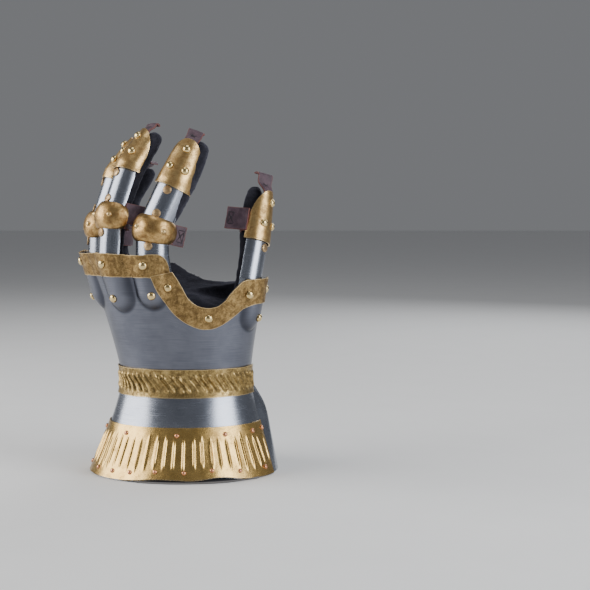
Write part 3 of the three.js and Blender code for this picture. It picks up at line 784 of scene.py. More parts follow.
def handPlate():
    lastFixed = handPlateShape["lastFixed"]
    shared = handLevel(handPlateShape["shared"])
    columns = [
        *spaced(seams["little"], -9.0, 150),
        *spaced(-8.7, -2.7, 18),
        *spaced(-2.2, lastFixed, 58),
        *spaced(lastFixed + 1.0, seams["thumb"], 44),
    ]
    rows = spaced(0.0, shared, handPlateShape["cuffRows"])
    rows += [shared + share for share in spaced(0.0, 1.0, handPlateShape["handRows"])[1:]]

    def pointAt(column, row, side):
        height = row if row <= shared else lerp(shared, plateTop(column), row - shared)
        angle = column
        if column > lastFixed:
            share = (column - lastFixed) / (seams["thumb"] - lastFixed)
            angle = lerp(lastFixed, seamAngle(height), share)
        point = shellPoint(angle, height, 0.0 if side else -thick["steel"])
        point.z += liftAt(angle, height)
        return point

    piece = sheet("hand_plate_steel", columns, rows, pointAt, bevels["plate"])
    # Share of painted shade at each point of the plate, darkest on the sides of the bosses and at their feet
    painted_shade = []
    for vertex in piece.data.vertices:
        place = vertex.co / mm - frameShift
        plan = planAt(place.z)
        across = (place.x - plan["x"]) / plan["halfWidth"]
        ahead = (plan["y"] - place.y) / plan["halfDepth"]
        painted_shade.append(bossPaintedShade(math.degrees(math.atan2(across, ahead)), place.z))
    setNumbers(piece.data, "painted_shade", painted_shade)
    dress(piece, "hand_plate", "steel_hand")


# How far the inner plate stands out from the line of the main plate at a height, like a bell
innerPlateBell = [
    {"height": 0.0, "out": 0.0},
    {"height": 26.0, "out": 5.5},
    {"height": 49.0, "out": 9.0},
    {"height": 64.0, "out": 5.5},
    {"height": 74.0, "out": 0.0},
]
innerPlateShape = {"rise": 20.0, "top": 1.28, "columns": 120, "rows": 80}


def innerCuffPlate():
    outer = -thick["steel"] - thick["rest"]
    end = seams["little"] + 360.0

    def pointAt(share, height, side):
        angle = lerp(seamAngle(height) - seams["tuck"], end + seams["tuck"], share)
        near = min(angle - seamAngle(height), end - angle) / innerPlateShape["rise"]
        bell = tableValue(innerPlateBell, "height", height, "out") * smoothstep(near, 0.1, 1.0)
        return shellPoint(angle, height, outer + bell - (0.0 if side else thick["steel"]))

    columns = spaced(0.0, 1.0, innerPlateShape["columns"])
    rows = spaced(0.0, innerPlateShape["top"] * wrist["height"], innerPlateShape["rows"])
    piece = sheet("inner_cuff_steel", columns, rows, pointAt, bevels["plate"])
    dress(piece, "inner_cuff_plate", "steel_bright")


# Brass round the shell: how far it lies off the steel, its dents as height, size and seed, and how its edges
# stray up and down as height, spread across the band, shift, size and seed
brassLie = {
    "border": {"gap": 0.3, "dents": [(0.28, 17.0, 3.0), (0.08, 6.0, 8.0)]},
    "wrist": {"gap": 0.3, "dents": [(0.18, 14.0, 5.0), (0.06, 5.0, 2.0)]},
    "finger": {
        "gap": 0.25,
        "dents": [(0.22, 12.0, 2.0)],
        "stray": [(0.35, 4.0, 0.0, 4.0, 4.0), (0.14, 2.0, 3.0, 1.1, 9.0)],
    },
    "thumb": {
        "gap": 0.3,
        "dents": [(0.2, 11.0, 6.0)],
        "stray": [(0.3, 4.0, 0.0, 2.5, 7.0), (0.12, 4.0, 5.0, 0.7, 3.0)],
    },
}


# Distance from the shell to the inner or the outer face of a brass piece
def brassOut(name, angle, height, side):
    lie = brassLie[name]
    dent = dents(plainShellPoint(angle, height, 0.0), lie["dents"])
    return thick["rest"] + lie["gap"] + dent + (thick["brass"] if side else 0.0)


# How far a band strays up or down at a place along it and a share of the way across it, most at its edges
def edgeStray(name, along, across):
    stray = 0.0
    for height, spread, shift, size, seed in brassLie[name]["stray"]:
        stray += height * wobble((along, across * spread, shift), size, seed)
    return stray * (abs(across - 0.5) * 2.0) ** 3


# Flutes of the border: narrow raised beads at even angles, with soft ends
borderShape = {
    "height": 40.0,
    "lift": 0.8,
    "pitch": 6.1,
    "first": -126.0,
    "count": 33,
    "fluteHeight": 0.85,
    "fluteHalf": 1.1,
    "bottom": 10.5,
    "top": 31.0,
    "taper": 9.0,
    "lastFixed": 66.0,
    "seamGap": 0.8,
    "edge": (0.35, 3.0, 5.0),
}
borderEnd = borderShape["first"] + borderShape["pitch"] * (borderShape["count"] - 0.5)
flutes = [
    {
        "angle": borderShape["first"] + borderShape["pitch"] * (number + random.uniform(-0.09, 0.09)),
        "bottom": borderShape["bottom"] + random.uniform(-1.6, 1.2),
        "top": borderShape["top"] + random.uniform(-1.8, 1.6),
        "height": borderShape["fluteHeight"] * random.uniform(0.75, 1.1),
        "half": borderShape["fluteHalf"] * random.uniform(0.85, 1.15),
    }
    for number in range(borderShape["count"])
]


def fluteRelief(column, height):
    number = round((column - borderShape["first"]) / borderShape["pitch"])
    flute = flutes[int(clamp(number, 0, borderShape["count"] - 1))]
    half = borderShape["taper"] / 2.0
    ends = between(height, flute["bottom"] - half, flute["top"] + half, borderShape["taper"])
    across = (column - flute["angle"]) / flute["half"]
    return flute["height"] * ends * max(0.0, 1.0 - across * across) ** 1.7


def borderPoint(column, height, side):
    lastFixed = borderShape["lastFixed"]
    angle = column
    if column > lastFixed:
        share = (column - lastFixed) / (borderEnd - lastFixed)
        angle = lerp(lastFixed, seamAngle(height) - borderShape["seamGap"], share)
    out = brassOut("border", angle, height, side) + fluteRelief(column, height)
    point = plainShellPoint(angle, height, out)
    rough = dents((angle * 0.5, 0.0, 0.0), [borderShape["edge"]])
    ends = 1.0 - smoothstep(height, 0.0, 8.0) + smoothstep(height, 34.0, 40.0)
    point.z += liftAt(angle, height) + rough * ends * 0.5
    return point


def cuffBorder():
    low = borderShape["lift"]
    columns = [seams["little"] + 0.6, seams["little"] + 1.4]
    for flute in flutes:
        columns += [flute["angle"] + flute["half"] * share for share in spaced(-1.0, 1.0, 10)]
        columns += [flute["angle"] + borderShape["pitch"] * share for share in (0.32, 0.42, 0.52, 0.64)]
    columns = sorted(column for column in columns if column < borderEnd) + [borderEnd]
    rows = spaced(low, low + borderShape["height"], 60)
    piece = sheet("cuff_border_brass", columns, rows, borderPoint, bevels["band"])
    dress(piece, "cuff_border", "brass_polished")


# Rivets: radius, height and sides
domeRivet = {"radius": 3.4, "height": 2.4, "sides": 28}
flatRivet = {"radius": 3.4, "height": 0.9, "sides": 28}
nippleRivet = {"radius": 1.7, "height": 1.6, "sides": 20}
copperRivet = {"radius": 1.85, "height": 1.5, "sides": 20}

# Copper rivets of the border: angle and height
borderRivetRows = [
    (-126, 34.5), (-108, 35.5), (-87, 35.0), (-44, 35.0), (-3, 35.0), (32, 35.0), (59, 35.0), (71, 35.2),
    (-125, 6.0), (-107, 6.6), (-88, 6.3), (-63, 6.3), (-46, 6.3), (-31.6, 6.3), (-14.8, 6.3),
    (2.6, 6.3), (19.4, 6.3), (38, 6.3), (61, 6.8),
]


def copperRivets():
    heads = []
    for angle, height in borderRivetRows:
        across = borderPoint(angle + 0.5, height, 1) - borderPoint(angle - 0.5, height, 1)
        up = borderPoint(angle, height + 0.6, 1) - borderPoint(angle, height - 0.6, 1)
        profile = domeProfile(copperRivet["radius"] * random.uniform(0.92, 1.08), copperRivet["height"])
        place = borderPoint(angle, height, 1)
        heads.append(lathePoints(place, across.cross(up).normalized(), profile, copperRivet["sides"]))
    dress(bundle("border_rivets", heads), None, "copper")


# Wrist band: slanting embossed ridges between plain margins. Its columns slant with the ridges.
wristBandShape = {
    "width": 22.0,
    "ridges": 34,
    "height": 1.45,
    "slant": 14.0,
    "low": 0.15,
    "high": 0.85,
    "half": 0.33,
    "ends": 0.22,
    "groove": 0.2,
    "bend": 0.09,
    "straight": 0.06,
    "wornPlace": 0.63,
    "wornWidth": 0.012,
    "wornShare": 0.8,
    "columns": 544,
    "rows": 40,
}


def wristBand():
    shape = wristBandShape
    ridges = [
        {"shift": random.uniform(-0.1, 0.1), "height": shape["height"] * random.uniform(0.7, 1.1)}
        for _ in range(shape["ridges"])
    ]

    def relief(share, across):
        level = (across - shape["low"]) / (shape["high"] - shape["low"])
        if level <= 0.0 or level >= 1.0:
            return 0.0
        place = share * shape["ridges"]
        number = int(clamp(math.floor(place), 0, shape["ridges"] - 1))
        offset = place - number - 0.5 - ridges[number]["shift"]
        bead = max(0.0, 1.0 - (offset / shape["half"]) ** 2) ** 1.3
        worn = math.exp(-((share - shape["wornPlace"]) / shape["wornWidth"]) ** 2)
        rise = ridges[number]["height"] * bead - shape["groove"] * (1.0 - bead)
        return rise * between(level, 0.0, 1.0, shape["ends"]) * (1.0 - shape["wornShare"] * worn)

    def pointAt(share, across, side):
        level = across - 0.5
        height = wrist["height"] + level * shape["width"]
        bend = level + shape["bend"] * math.sin(2.0 * math.pi * level)
        slant = shape["slant"] * bend * between(share, 0.0, 1.0, shape["straight"])
        angle = lerp(seams["little"] + 0.6, seamAngle(height) - 0.8, share) - slant
        out = brassOut("wrist", angle, height, side) + relief(share, across)
        point = plainShellPoint(angle, height, out)
        point.z += 0.25 * wobble((angle, across * 3.0, 0.0), 9.0, 1.0)
        return point

    columns, rows = spaced(0.0, 1.0, shape["columns"]), spaced(0.0, 1.0, shape["rows"])
    piece = sheet("wrist_band_brass", columns, rows, pointAt, bevels["band"])
    dress(piece, "wrist_band", "brass_wrist")


# Rivet heads as one piece. places holds pairs of a point and the way that its head looks.
def rivetHeads(name, places, profile, sides, materialName, nodeName=None):
    heads = [lathePoints(point, way, profile, sides) for point, way in places]
    dress(bundle(name, heads), nodeName, materialName)


# Dome rivets on the shell, at places of angle, height and distance from it
def shellRivets(name, places, size, nodeName=None):
    found = [(shellPoint(*place), shellNormal(*place[:2])) for place in places]
    profile = domeProfile(domeRivet["radius"] * size, domeRivet["height"])
    rivetHeads(name, found, profile, domeRivet["sides"], "rivet_brass", nodeName)


# Rivets of the finger band as angle and level, and a nick in its lower edge
fingerBandRivets = [(-113.0, 0.92), (-76.6, 0.928), (-44.0, 0.92), (-17.2, 0.915)]
nick = {"angle": -46.5, "width": 1.0, "depth": 1.7}


def fingerBand():
    low = handLevel(1.0 - fingerBandShape["width"] / hand["height"])
    start = fingerBandShape["end"] - fingerBandShape["corner"]
    columns = spaced(seams["little"] - 0.5, start, 240) + spaced(start + 0.25, fingerBandShape["end"], 25)

    def pointAt(angle, share, side):
        cut = nick["depth"] * max(0.0, 1.0 - abs(angle - nick["angle"]) / nick["width"])
        wave = fingerBandShape["wave"] * math.sin(math.radians(angle * 7.0 + 40.0))
        wave *= 1.0 - smoothstep(angle, start - 12.0, start)
        height = lerp(low + cut, fingerBandTop(angle) + wave, share)
        curl = fingerBandShape["curl"] * (1.0 - smoothstep(angle, seams["little"], seams["little"] + 3.0))
        point = shellPoint(angle, height, brassOut("finger", angle, height, side) + curl)
        point.z += edgeStray("finger", angle * 0.9, share)
        return point

    piece = sheet("finger_band_brass", columns, spaced(0.0, 1.0, 26), pointAt, bevels["band"])
    dress(piece, "finger_band", "brass_aged")
    offset = thick["rest"] + brassLie["finger"]["gap"] + thick["brass"]
    places = [(angle, handLevel(level), offset) for angle, level in fingerBandRivets]
    shellRivets("finger_band_rivets", places, 1.0)


# Rivets of the thumb band, along and across it, and how far along it laps over the finger band
thumbBandRivets = [(0.11, 0.45), (0.49, 0.5), (0.8, 0.42), (0.965, 0.5)]
thumbBandLap = 0.14


# Angle, height and lap of a point of the thumb band, given along and across it
def thumbBandPlace(share, across):
    def at(column):
        return tableValue(thumbBandEdges, "share", share, column)

    lap = max(0.0, 1.0 - share / thumbBandLap)
    angle = lerp(at("lowerAngle"), at("upperAngle"), across)
    height = handLevel(lerp(at("lower"), at("upper"), across))
    return angle, height, smoothstep(lap, 0.0, 0.6) * (thick["brass"] + 0.2)


def thumbBand():
    def pointAt(share, across, side):
        angle, height, lap = thumbBandPlace(share, across)
        point = shellPoint(angle, height, brassOut("thumb", angle, height, side) + lap)
        point.z += edgeStray("thumb", share * 40.0, across)
        return point

    columns, rows = spaced(0.0, 1.0, 300), spaced(0.0, 1.0, 26)
    piece = sheet("thumb_band_brass", columns, rows, pointAt, bevels["band"])
    dress(piece, "thumb_band", "brass_aged")
    offset = thick["rest"] + brassLie["thumb"]["gap"] + thick["brass"]
    places = [thumbBandPlace(*place) for place in thumbBandRivets]
    shellRivets("thumb_band_rivets", [(angle, height, offset + lap) for angle, height, lap in places], 1.0)


def knuckleRivets():
    for boss in bosses:
        place = (boss["rivetAngle"], handLevel(boss["rivet"]), 0.05)
        shellRivets("knuckle_head_" + boss["name"], [place], 0.96, "knuckle_rivet_" + boss["name"])


# Fingers: half width and depth of the suede finger, and how far the plates go under the main plate
finger = {
    "halfWidth": 10.6,
    "halfDepth": 9.2,
    "sideRoom": 1.2,
    "suedeRoot": 26.0,
    "plateTuck": 18.0,
    "plateGap": 2.5,
    "halfSpan": 84.0,
}
cup = {
    "length": 11.0,
    "gap": 0.4,
    "bulge": 4.0,
    "fullness": 0.72,
    "reach": 10.2,
    "narrowing": 0.22,
    "side": 0.75,
    "halfSpan": 92.0,
    "nipples": (-36.0, 40.0),
}
tip = {
    "lap": 5.0,
    "halfSpan": 90.0,
    "bluntness": 2.6,
    "flare": 0.35,
    "bend": 0.08,
    "rivets": [(0.74, 4.0), (0.26, -27.0), (0.26, 29.0)],
    "rivetSize": 0.92,
}
strap = {"half": 5.6, "fold": 2.6, "foldTurn": 150.0, "bend": 0.06, "thumbTwist": 36.0, "sideLimit": 0.86}
loop = {"half": 8.5, "start": 93.5, "thumbStart": 95.0, "thumbPlace": 0.25}
boneLengths = {"finger": (31.5, 44.0, 34.0), "thumb": (35.5, 38.0)}

# Distances of the layers from the suede, on the back of a finger
layer = {"strapIn": 0.35, "strapOut": 1.95, "plateIn": 2.3, "plateOut": 3.5, "tipIn": 4.3}

# Place on the main plate, way that the back looks, share of the bones' lengths and of the width, depth under
# the plate, and slopes of the bones
digitColumns = ("name", "angle", "facing", "lengths", "width", "inset", "leans", "curls")
digitRows = [
    ("index", -14.5, -12, (0.6, 0.926, 1.04), 1.05, 1.2, (0, 22.3, 20), (3, 15, 20)),
    ("middle", -48, -51, (0.91, 0.97, 0.95), 0.92, 1.4, (0, -2, 0), (5, 23, 37)),
    ("ring", -87, -82, (0.66, 0.98, 0.94), 0.87, 2.4, (0, -6, -7), (4, 18, 34)),
    ("little", -125, -112, (0.45, 0.74, 0.76), 0.8, 3, (0, -5, -4), (4, 20, 36)),
    ("thumb", 64, 60, (1, 1), 0.95, 2.2, (19, 17.5), (0, 0)),
]
digits = [dict(zip(digitColumns, row)) for row in digitRows]

# Size of a finger's section over the number of bones that are left to its tip
taper = [
    {"left": 3.0, "size": 1.0},
    {"left": 1.0, "size": 0.97},
    {"left": 0.25, "size": 0.87},
    {"left": 0.0, "size": 0.74},
    {"left": -0.12, "size": 0.5},
]


def coarseTop(angle):
    if angle < fingerBandShape["end"]:
        return fingerBandTop(angle) - 1.0
    return handLevel(straightValue(thumbBandEdges, "upperAngle", angle, "upper")) - 1.0


# Axis of a digit: a point under the main plate, one at its edge, its joints and its tip
def digitPath(digit):
    outward = levelWay(digit["facing"])
    sideways = Vector((-outward.y, outward.x, 0.0))
    depth = layer["plateOut"] + finger["halfDepth"] * digit["width"] + digit["inset"]
    isThumb = digit["name"] == "thumb"

    def under(height):
        offset = coarseRelief(digit["angle"], height) - thick["steel"] - thick["gap"]
        return plainShellPoint(digit["angle"], height, offset) - outward * depth

    edge = coarseTop(digit["angle"])
    joints = [under(edge - finger["suedeRoot"]), under(edge)]
    lengths = boneLengths["thumb" if isThumb else "finger"]
    bones = [share * length for share, length in zip(digit["lengths"], lengths)]
    for bone, lean, curl in zip(bones, digit["leans"], digit["curls"]):
        direction = Vector((0.0, 0.0, 1.0)) + sideways * math.tan(math.radians(lean))
        direction -= outward * math.tan(math.radians(curl))
        joints.append(joints[-1] + direction.normalized() * bone)
    return {
        **digit,
        "outward": outward,
        "joints": joints,
        "bones": bones,
        "last": len(joints) - 1,
        "isThumb": isThumb,
    }


# Origin and axes of a section across a digit
def section(path, origin, tangent):
    back = (path["outward"] - tangent * path["outward"].dot(tangent)).normalized()
    return {"origin": origin, "tangent": tangent, "back": back, "side": tangent.cross(back)}


# Way out of a section at an angle, 0 at the back of the digit
def sectionWay(place, angle):
    turn = math.radians(angle)
    return place["side"] * math.sin(turn) + place["back"] * math.cos(turn)


def sectionPoint(place, angle, halfWidth, halfDepth):
    turn = math.radians(angle)
    point = place["origin"] + place["side"] * halfWidth * math.sin(turn)
    return point + place["back"] * halfDepth * math.cos(turn)


# Section at a station, which counts the joints. Near a joint it turns over the share blend of a bone.
sharpBend = 0.02


def frameAt(path, station, blend=sharpBend):
    joints, last = path["joints"], path["last"]
    near = round(station)

    def bone(i):
        return (joints[i + 1] - joints[i]).normalized()

    index = int(clamp(math.floor(station), 0, last - 1))
    tangent = bone(index)
    distance = abs(station - near)
    if distance < blend and 0 < near < last:
        mean = (bone(near - 1) + bone(near)).normalized()
        own = bone(near - 1) if station < near else bone(near)
        tangent = mean.lerp(own, distance / blend if blend > sharpBend else 0.0).normalized()
    return section(path, joints[index].lerp(joints[index + 1], station - index), tangent)


# Section round the first joint of a finger, at a place along the smooth bend of its bones
def jointSection(path, along):
    joints = path["joints"]
    before, after = [(joints[i + 1] - joints[i]).normalized() for i in (1, 2)]
    reach = cup["length"]
    share = clamp((along / reach + 1.0) / 2.0, -0.1, 1.1)
    origin = joints[2] - before * reach * (1.0 - share) ** 2 + after * reach * share ** 2
    return section(path, origin, before.lerp(after, lerp(0.3, 0.7, share)).normalized())


def sideDistance(distance):
    if distance < 0:
        return distance
    if distance < layer["plateIn"]:
        return distance * finger["sideRoom"] / layer["plateIn"]
    return finger["sideRoom"] + distance - layer["plateIn"]


# Half width and depth of a layer at a distance from the suede
def halfSizes(size, distance):
    return finger["halfWidth"] * size + sideDistance(distance), finger["halfDepth"] * size + distance


def sectionSize(path, station):
    return straightValue(taper, "left", path["last"] - station, "size") * path["width"]


def sleevePoint(path, station, angle, distance, blend=sharpBend):
    sizes = halfSizes(sectionSize(path, station), distance)
    return sectionPoint(frameAt(path, station, blend), angle, *sizes)


def sleeveNormal(path, station, angle):
    return sectionWay(frameAt(path, station), angle).normalized()


# Fine rows on the straight lines between a few stations
def ruled(stations, pointAt):
    def at(u, row, side):
        index = int(clamp(math.floor(row), 0, len(stations) - 2))
        low = pointAt(u, stations[index], side)
        return low.lerp(pointAt(u, stations[index + 1], side), row - index)

    return at


def steelSleeve(path, part, stations, rivets):
    def edgePoint(angle, station, side):
        return sleevePoint(path, station, angle, layer["plateOut" if side else "plateIn"])

    name = path["name"] + part
    angles = spaced(-finger["halfSpan"], finger["halfSpan"], 48)
    rows = spaced(0.0, len(stations) - 1.0, 30 * (len(stations) - 1))
    piece = sheet(name + "_steel", angles, rows, ruled(stations, edgePoint), bevels["digit"])
    dress(piece, name + "_plate", "steel_bright")
    places = []
    for station in rivets:
        point = sleevePoint(path, station, 0.0, layer["plateOut"])
        places.append((point, sleeveNormal(path, station, 0.0)))
    profile = flatProfile(flatRivet["radius"], flatRivet["height"])
    rivetHeads(name + "_discs", places, profile, flatRivet["sides"], "brass_disc")


def proximalPlate(path):
    bone = path["bones"][0]
    start = 1.0 - finger["plateTuck"] / finger["suedeRoot"]
    end = 2.0 if path["isThumb"] else 2.0 - finger["plateGap"] / bone
    cover = tip["lap"] + 1.0 if path["isThumb"] else cup["length"] - 2.2
    steelSleeve(path, "_proximal", [start, 1.0, end], [2.0 - (cover + flatRivet["radius"]) / bone])


def middlePlate(path):
    bone = path["bones"][1]
    rivets = [2.0 + (cup["length"] + 1.0) / bone, 2.0 + (bone - tip["lap"] - 3.6) / bone]
    steelSleeve(path, "_middle", [2.0 + finger["plateGap"] / bone, 3.0], rivets)


# Brass plate of the last bone, lapped over the plate below it and narrowing to a round point
def tipPlate(path):
    start, joints = path["last"] - 1, path["joints"]
    ratio = (joints[start + 1] - joints[start]).length / (joints[start] - joints[start - 1]).length
    lap = tip["lap"] / path["bones"][start - 1]

    def outside(share):
        return lerp(layer["tipIn"], layer["plateIn"] + 0.2, clamp(share, 0.0, 1.0)) + thick["brass"]

    def pointAt(turn, share, side):
        station = start + max(share, 0.0) + min(share, 0.0) * ratio
        narrowed = max(0.0, 1.0 - max(0.0, share) ** tip["bluntness"])
        angle = turn * tip["halfSpan"] * math.sqrt(narrowed)
        distance = outside(share) - (0.0 if side else thick["brass"])
        distance += tip["flare"] * max(0.0, -share / lap) ** 2
        point = sleevePoint(path, station, angle, distance, tip["bend"])
        return point + sleeveNormal(path, station, angle) * 0.16 * wobble(point, 9.0, 4.0)

    shares = [-lap * share for share in (1.0, 0.8, 0.6, 0.4, 0.2)]
    shares += [1.0 - (1.0 - share) ** 1.7 for share in spaced(0.0, 0.975, 40)]
    piece = sheet(path["name"] + "_tip_brass", spaced(-1.0, 1.0, 48), shares, pointAt, bevels["digit"])
    dress(piece, path["name"] + "_tip_plate", "brass_tip")
    places = []
    for share, angle in tip["rivets"]:
        point = sleevePoint(path, start + share, angle, outside(share))
        places.append((point, sleeveNormal(path, start + share, angle)))
    profile = domeProfile(domeRivet["radius"] * tip["rivetSize"], domeRivet["height"])
    name = path["name"] + "_tip_rivets"
    rivetHeads(name, places, profile, domeRivet["sides"], "rivet_brass")


# Bulged brass cup over the first joint of a finger, like a barrel with round shoulders
def knuckleCup(path):
    base = layer["plateOut"] + cup["gap"]

    def pointAt(angle, share, side):
        narrowed = 1.0 - cup["narrowing"] * abs(angle / 90.0) ** 4
        place = jointSection(path, share * cup["reach"] * narrowed)
        rise = cup["bulge"] * max(0.0, 1.0 - share * share) ** cup["fullness"]
        halfWidth, halfDepth = halfSizes(path["width"], base + side * thick["brass"])
        point = sectionPoint(place, angle, halfWidth + cup["side"] * rise, halfDepth + rise)
        return point + sectionWay(place, angle) * 0.25 * wobble(point, 8.0, 6.0)

    angles = spaced(-cup["halfSpan"], cup["halfSpan"], 56)
    shares = [math.sin(math.radians(turn)) for turn in spaced(-90.0, 90.0, 36)]
    piece = sheet(path["name"] + "_cup_brass", angles, shares, pointAt, bevels["digit"])
    dress(piece, path["name"] + "_knuckle_cup", "brass_cup")
    middle = jointSection(path, 0.0)
    places = [(pointAt(angle, 0.0, 1), sectionWay(middle, angle).normalized()) for angle in cup["nipples"]]
    profile = nippleProfile(nippleRivet["radius"], nippleRivet["height"])
    name = path["name"] + "_cup_nipples"
    rivetHeads(name, places, profile, nippleRivet["sides"], "brass_cup")


stitches = []
stitchShape = {"rise": 0.35, "radius": 0.27, "sink": 0.2}


# Stitches of thread that rise over a leather surface. rows holds both ends of each, as places on it.
def sew(pointAt, rows, normal):
    for x1, y1, x2, y2 in rows:
        start, end = pointAt(x1, y1, 1), pointAt(x2, y2, 1)
        points = []
        for share in spaced(0.0, 1.0, 8):
            lift = stitchShape["rise"] * math.sin(math.pi * share) - stitchShape["sink"]
            points.append(start.lerp(end, share) + normal * lift)
        stitches.append(tubePoints(points, stitchShape["radius"]))


# Leather strap under the plates, ending in a folded tab that is sewn to the suede finger's tip
def fingerStrap(path):
    last = path["last"]
    tabStart, tabEnd = last - 0.12, last + (0.3 if path["isThumb"] else 0.2)
    twist = math.radians(strap["thumbTwist"] if path["isThumb"] else 0.0)
    half = strap["half"] * (0.9 + 0.1 * path["width"])
    seed = 3.0 + path["angle"]

    def alongPath(across, station, distance):
        place = frameAt(path, station, strap["bend"])
        halfWidth, halfDepth = halfSizes(sectionSize(path, station), distance)
        sine = clamp(across / halfWidth, -strap["sideLimit"], strap["sideLimit"])
        flat = smoothstep(station, last - 0.25, last)
        cosine = math.sqrt(1.0 - (sine * lerp(1.0, 0.45, flat)) ** 2)
        turn = twist * smoothstep(station, last - 0.1, last + 0.2)
        side = place["side"] * math.cos(turn) + place["back"] * math.sin(turn)
        back = place["back"] * math.cos(turn) - place["side"] * math.sin(turn)
        return place["origin"] + side * across + back * halfDepth * cosine

    def pointAt(u, row, side):
        ragged = 0.3 * wobble((row * 9.0, u * 2.0, seed), 2.2, 3.0) * abs(u)
        inTab = smoothstep(row, tabStart, tabEnd)
        across = (u + ragged * 0.4) * half * (1.0 + 0.12 * inTab)
        distance = layer["strapOut" if side else "strapIn"]
        distance += 0.3 * wobble((row * 7.0, u, seed), 1.6, 2.0) * inTab
        if row <= tabEnd:
            return alongPath(across, row, distance)
        place = frameAt(path, last + 0.1, 0.0)
        turn = math.radians((row - tabEnd) * strap["foldTurn"])
        reach = strap["fold"] - (0.0 if side else thick["leather"])
        centre = alongPath(across, tabEnd, layer["strapOut"]) - place["back"] * strap["fold"]
        return centre + place["back"] * reach * math.cos(turn) + place["tangent"] * reach * math.sin(turn)

    rows = spaced(0.6, last - 0.3, 30) + spaced(last - 0.27, tabEnd, 16)
    rows += [tabEnd + share for share in spaced(0.08, 1.0, 12)]
    piece = sheet(path["name"] + "_strap_leather", spaced(-1.0, 1.0, 18), rows, pointAt, bevels["leather"])
    dress(piece, path["name"] + "_finger_strap", "purple_leather")
    middle = last + 0.1
    cross = [
        (-0.42, middle - 0.035, 0.42, middle + 0.03),
        (-0.38, middle + 0.035, 0.36, middle - 0.04),
        (-0.5, middle, 0.1, middle + 0.005),
    ]
    sew(pointAt, cross, frameAt(path, last, 0.0)["back"])


# Leather loop round the inner side of a digit, bent as the cup over it is
def loopStrap(path):
    isThumb = path["isThumb"]
    half = loop["half"]
    start = loop["thumbStart"] if isThumb else loop["start"]
    sideRoom = sideDistance(layer["plateOut"] + thick["gap"]) + (0.4 if isThumb else 0.0)
    halfWidth = finger["halfWidth"] * path["width"] + sideRoom
    halfDepth = finger["halfDepth"] * path["width"] + (0.0 if isThumb else 0.5)
    seed = path["angle"] * 0.31

    def placeAt(along):
        if isThumb:
            return frameAt(path, path["last"] - 1 + loop["thumbPlace"])
        return jointSection(path, along)

    def pointAt(angle, along, side):
        place = placeAt(along)
        ragged = 0.3 * wobble((angle * 0.2, along, seed), 2.0, 1.0) * abs(along / half)
        out = side * thick["leather"] + 0.3 * wobble((angle * 0.07, along * 0.2, seed), 1.3, 4.0)
        place["origin"] = place["origin"] + place["tangent"] * (ragged + (along if isThumb else 0.0))
        return sectionPoint(place, angle, halfWidth + out, halfDepth + out)

    angles = spaced(start, 360.0 - start, 110)
    piece = sheet(path["name"] + "_loop_leather", angles, spaced(-half, half, 14), pointAt, bevels["leather"])
    dress(piece, path["name"] + "_loop_strap", "purple_leather")
    for angle in (228.0, 262.0) if isThumb else (110.0, 262.0):
        cross = [
            (angle - 7, -3.6, angle + 7, 3.2),
            (angle - 7, 3.4, angle + 7, -3.4),
            (angle - 8, -5.6, angle - 8, 5.4),
        ]
        sew(pointAt, cross, sectionWay(placeAt(0.0), angle).normalized())


# Loose stitched ends of the loop straps: side of the digit, way that they point as shares of the side and of
# the palm, length, place along the digit and half width
flapColumns = ("digit", "side", "sideways", "palmward", "length", "along", "half")
flapRows = [
    ("thumb", -1.0, 0.15, 0.98, 14.5, 1.0, 9.0),
    ("index", 1.0, 0.75, 0.66, 9.0, 0.0, 8.0),
    ("middle", 1.0, 0.35, 0.94, 17.0, 2.0, 8.0),
]


def strapFlap(path, flap):
    thumbStation = path["last"] - 1 + loop["thumbPlace"]
    place = frameAt(path, thumbStation) if path["isThumb"] else jointSection(path, flap["along"])
    halfWidth = finger["halfWidth"] * path["width"] + sideDistance(layer["plateOut"] + thick["gap"])
    across = place["side"] * flap["side"]
    reach = (across * flap["sideways"] - place["back"] * flap["palmward"]).normalized()
    normal = (across - reach * across.dot(reach)).normalized()
    base = place["origin"] + across * (halfWidth + thick["leather"] * 0.5) - place["back"] * 3.0

    def pointAt(out, along, side):
        curl = 1.2 * (out / flap["length"]) ** 2 + 0.35 * wobble((out * 0.3, along * 0.3, 2.0), 1.6, 5.0)
        ragged = 0.35 * wobble((out * 0.7, along * 0.7, 8.0), 1.5, 2.0)
        up = along * (1.0 + 0.02 * ragged) + flap["along"]
        point = base + reach * (out + ragged) + place["tangent"] * up
        return point + normal * (curl + side * thick["leather"])

    outs, rows = spaced(-4.0, flap["length"], 26), spaced(-flap["half"], flap["half"], 16)
    piece = sheet(flap["digit"] + "_strap_end", outs, rows, pointAt, bevels["leather"])
    dress(piece, None, "purple_leather")
    near, far = flap["length"] - 6.5, flap["length"] - 1.8
    cross = [
        (near, -4.0, far, 4.0),
        (far, -4.0, near, 4.0),
        (near, 4.6, far, 4.8),
        (near, -4.6, far, -4.8),
        (far, -5.0, far, 5.0),
    ]
    sew(pointAt, cross, normal)


# Suede glove: a palm that fills the plates and a tube for each digit, hollow and open at the cuff
gloveShape = {
    "room": thick["steel"] * 2 + thick["gap"] * 2 + 2.2,
    "backShare": 0.42,
    "voxel": 1.35,
    "wall": thick["suede"],
    "hem": 0.3,
    "relax": 16,
    "settle": 3,
}

# How far the suede fingers slide sideways and inwards from under their plates
gloveSlide = {"index": (6.5, 0.0), "middle": (4.5, 1.0), "thumb": (0.0, 5.5)}


def glovePalmPoint(angle, height):
    outward = plainShellPoint(angle, height, -gloveShape["room"])
    plan = planAt(height)
    opened = smoothstep(height, wrist["height"], handLevel(0.75))
    behind = min(smoothstep(angle, 92.0, 140.0), smoothstep(360.0 + seams["little"] - angle, -8.0, 45.0))
    pull = 1.0 - (1.0 - gloveShape["backShare"]) * opened * behind
    return Vector((lerp(plan["x"], outward.x, pull), lerp(plan["y"], outward.y, pull), height))


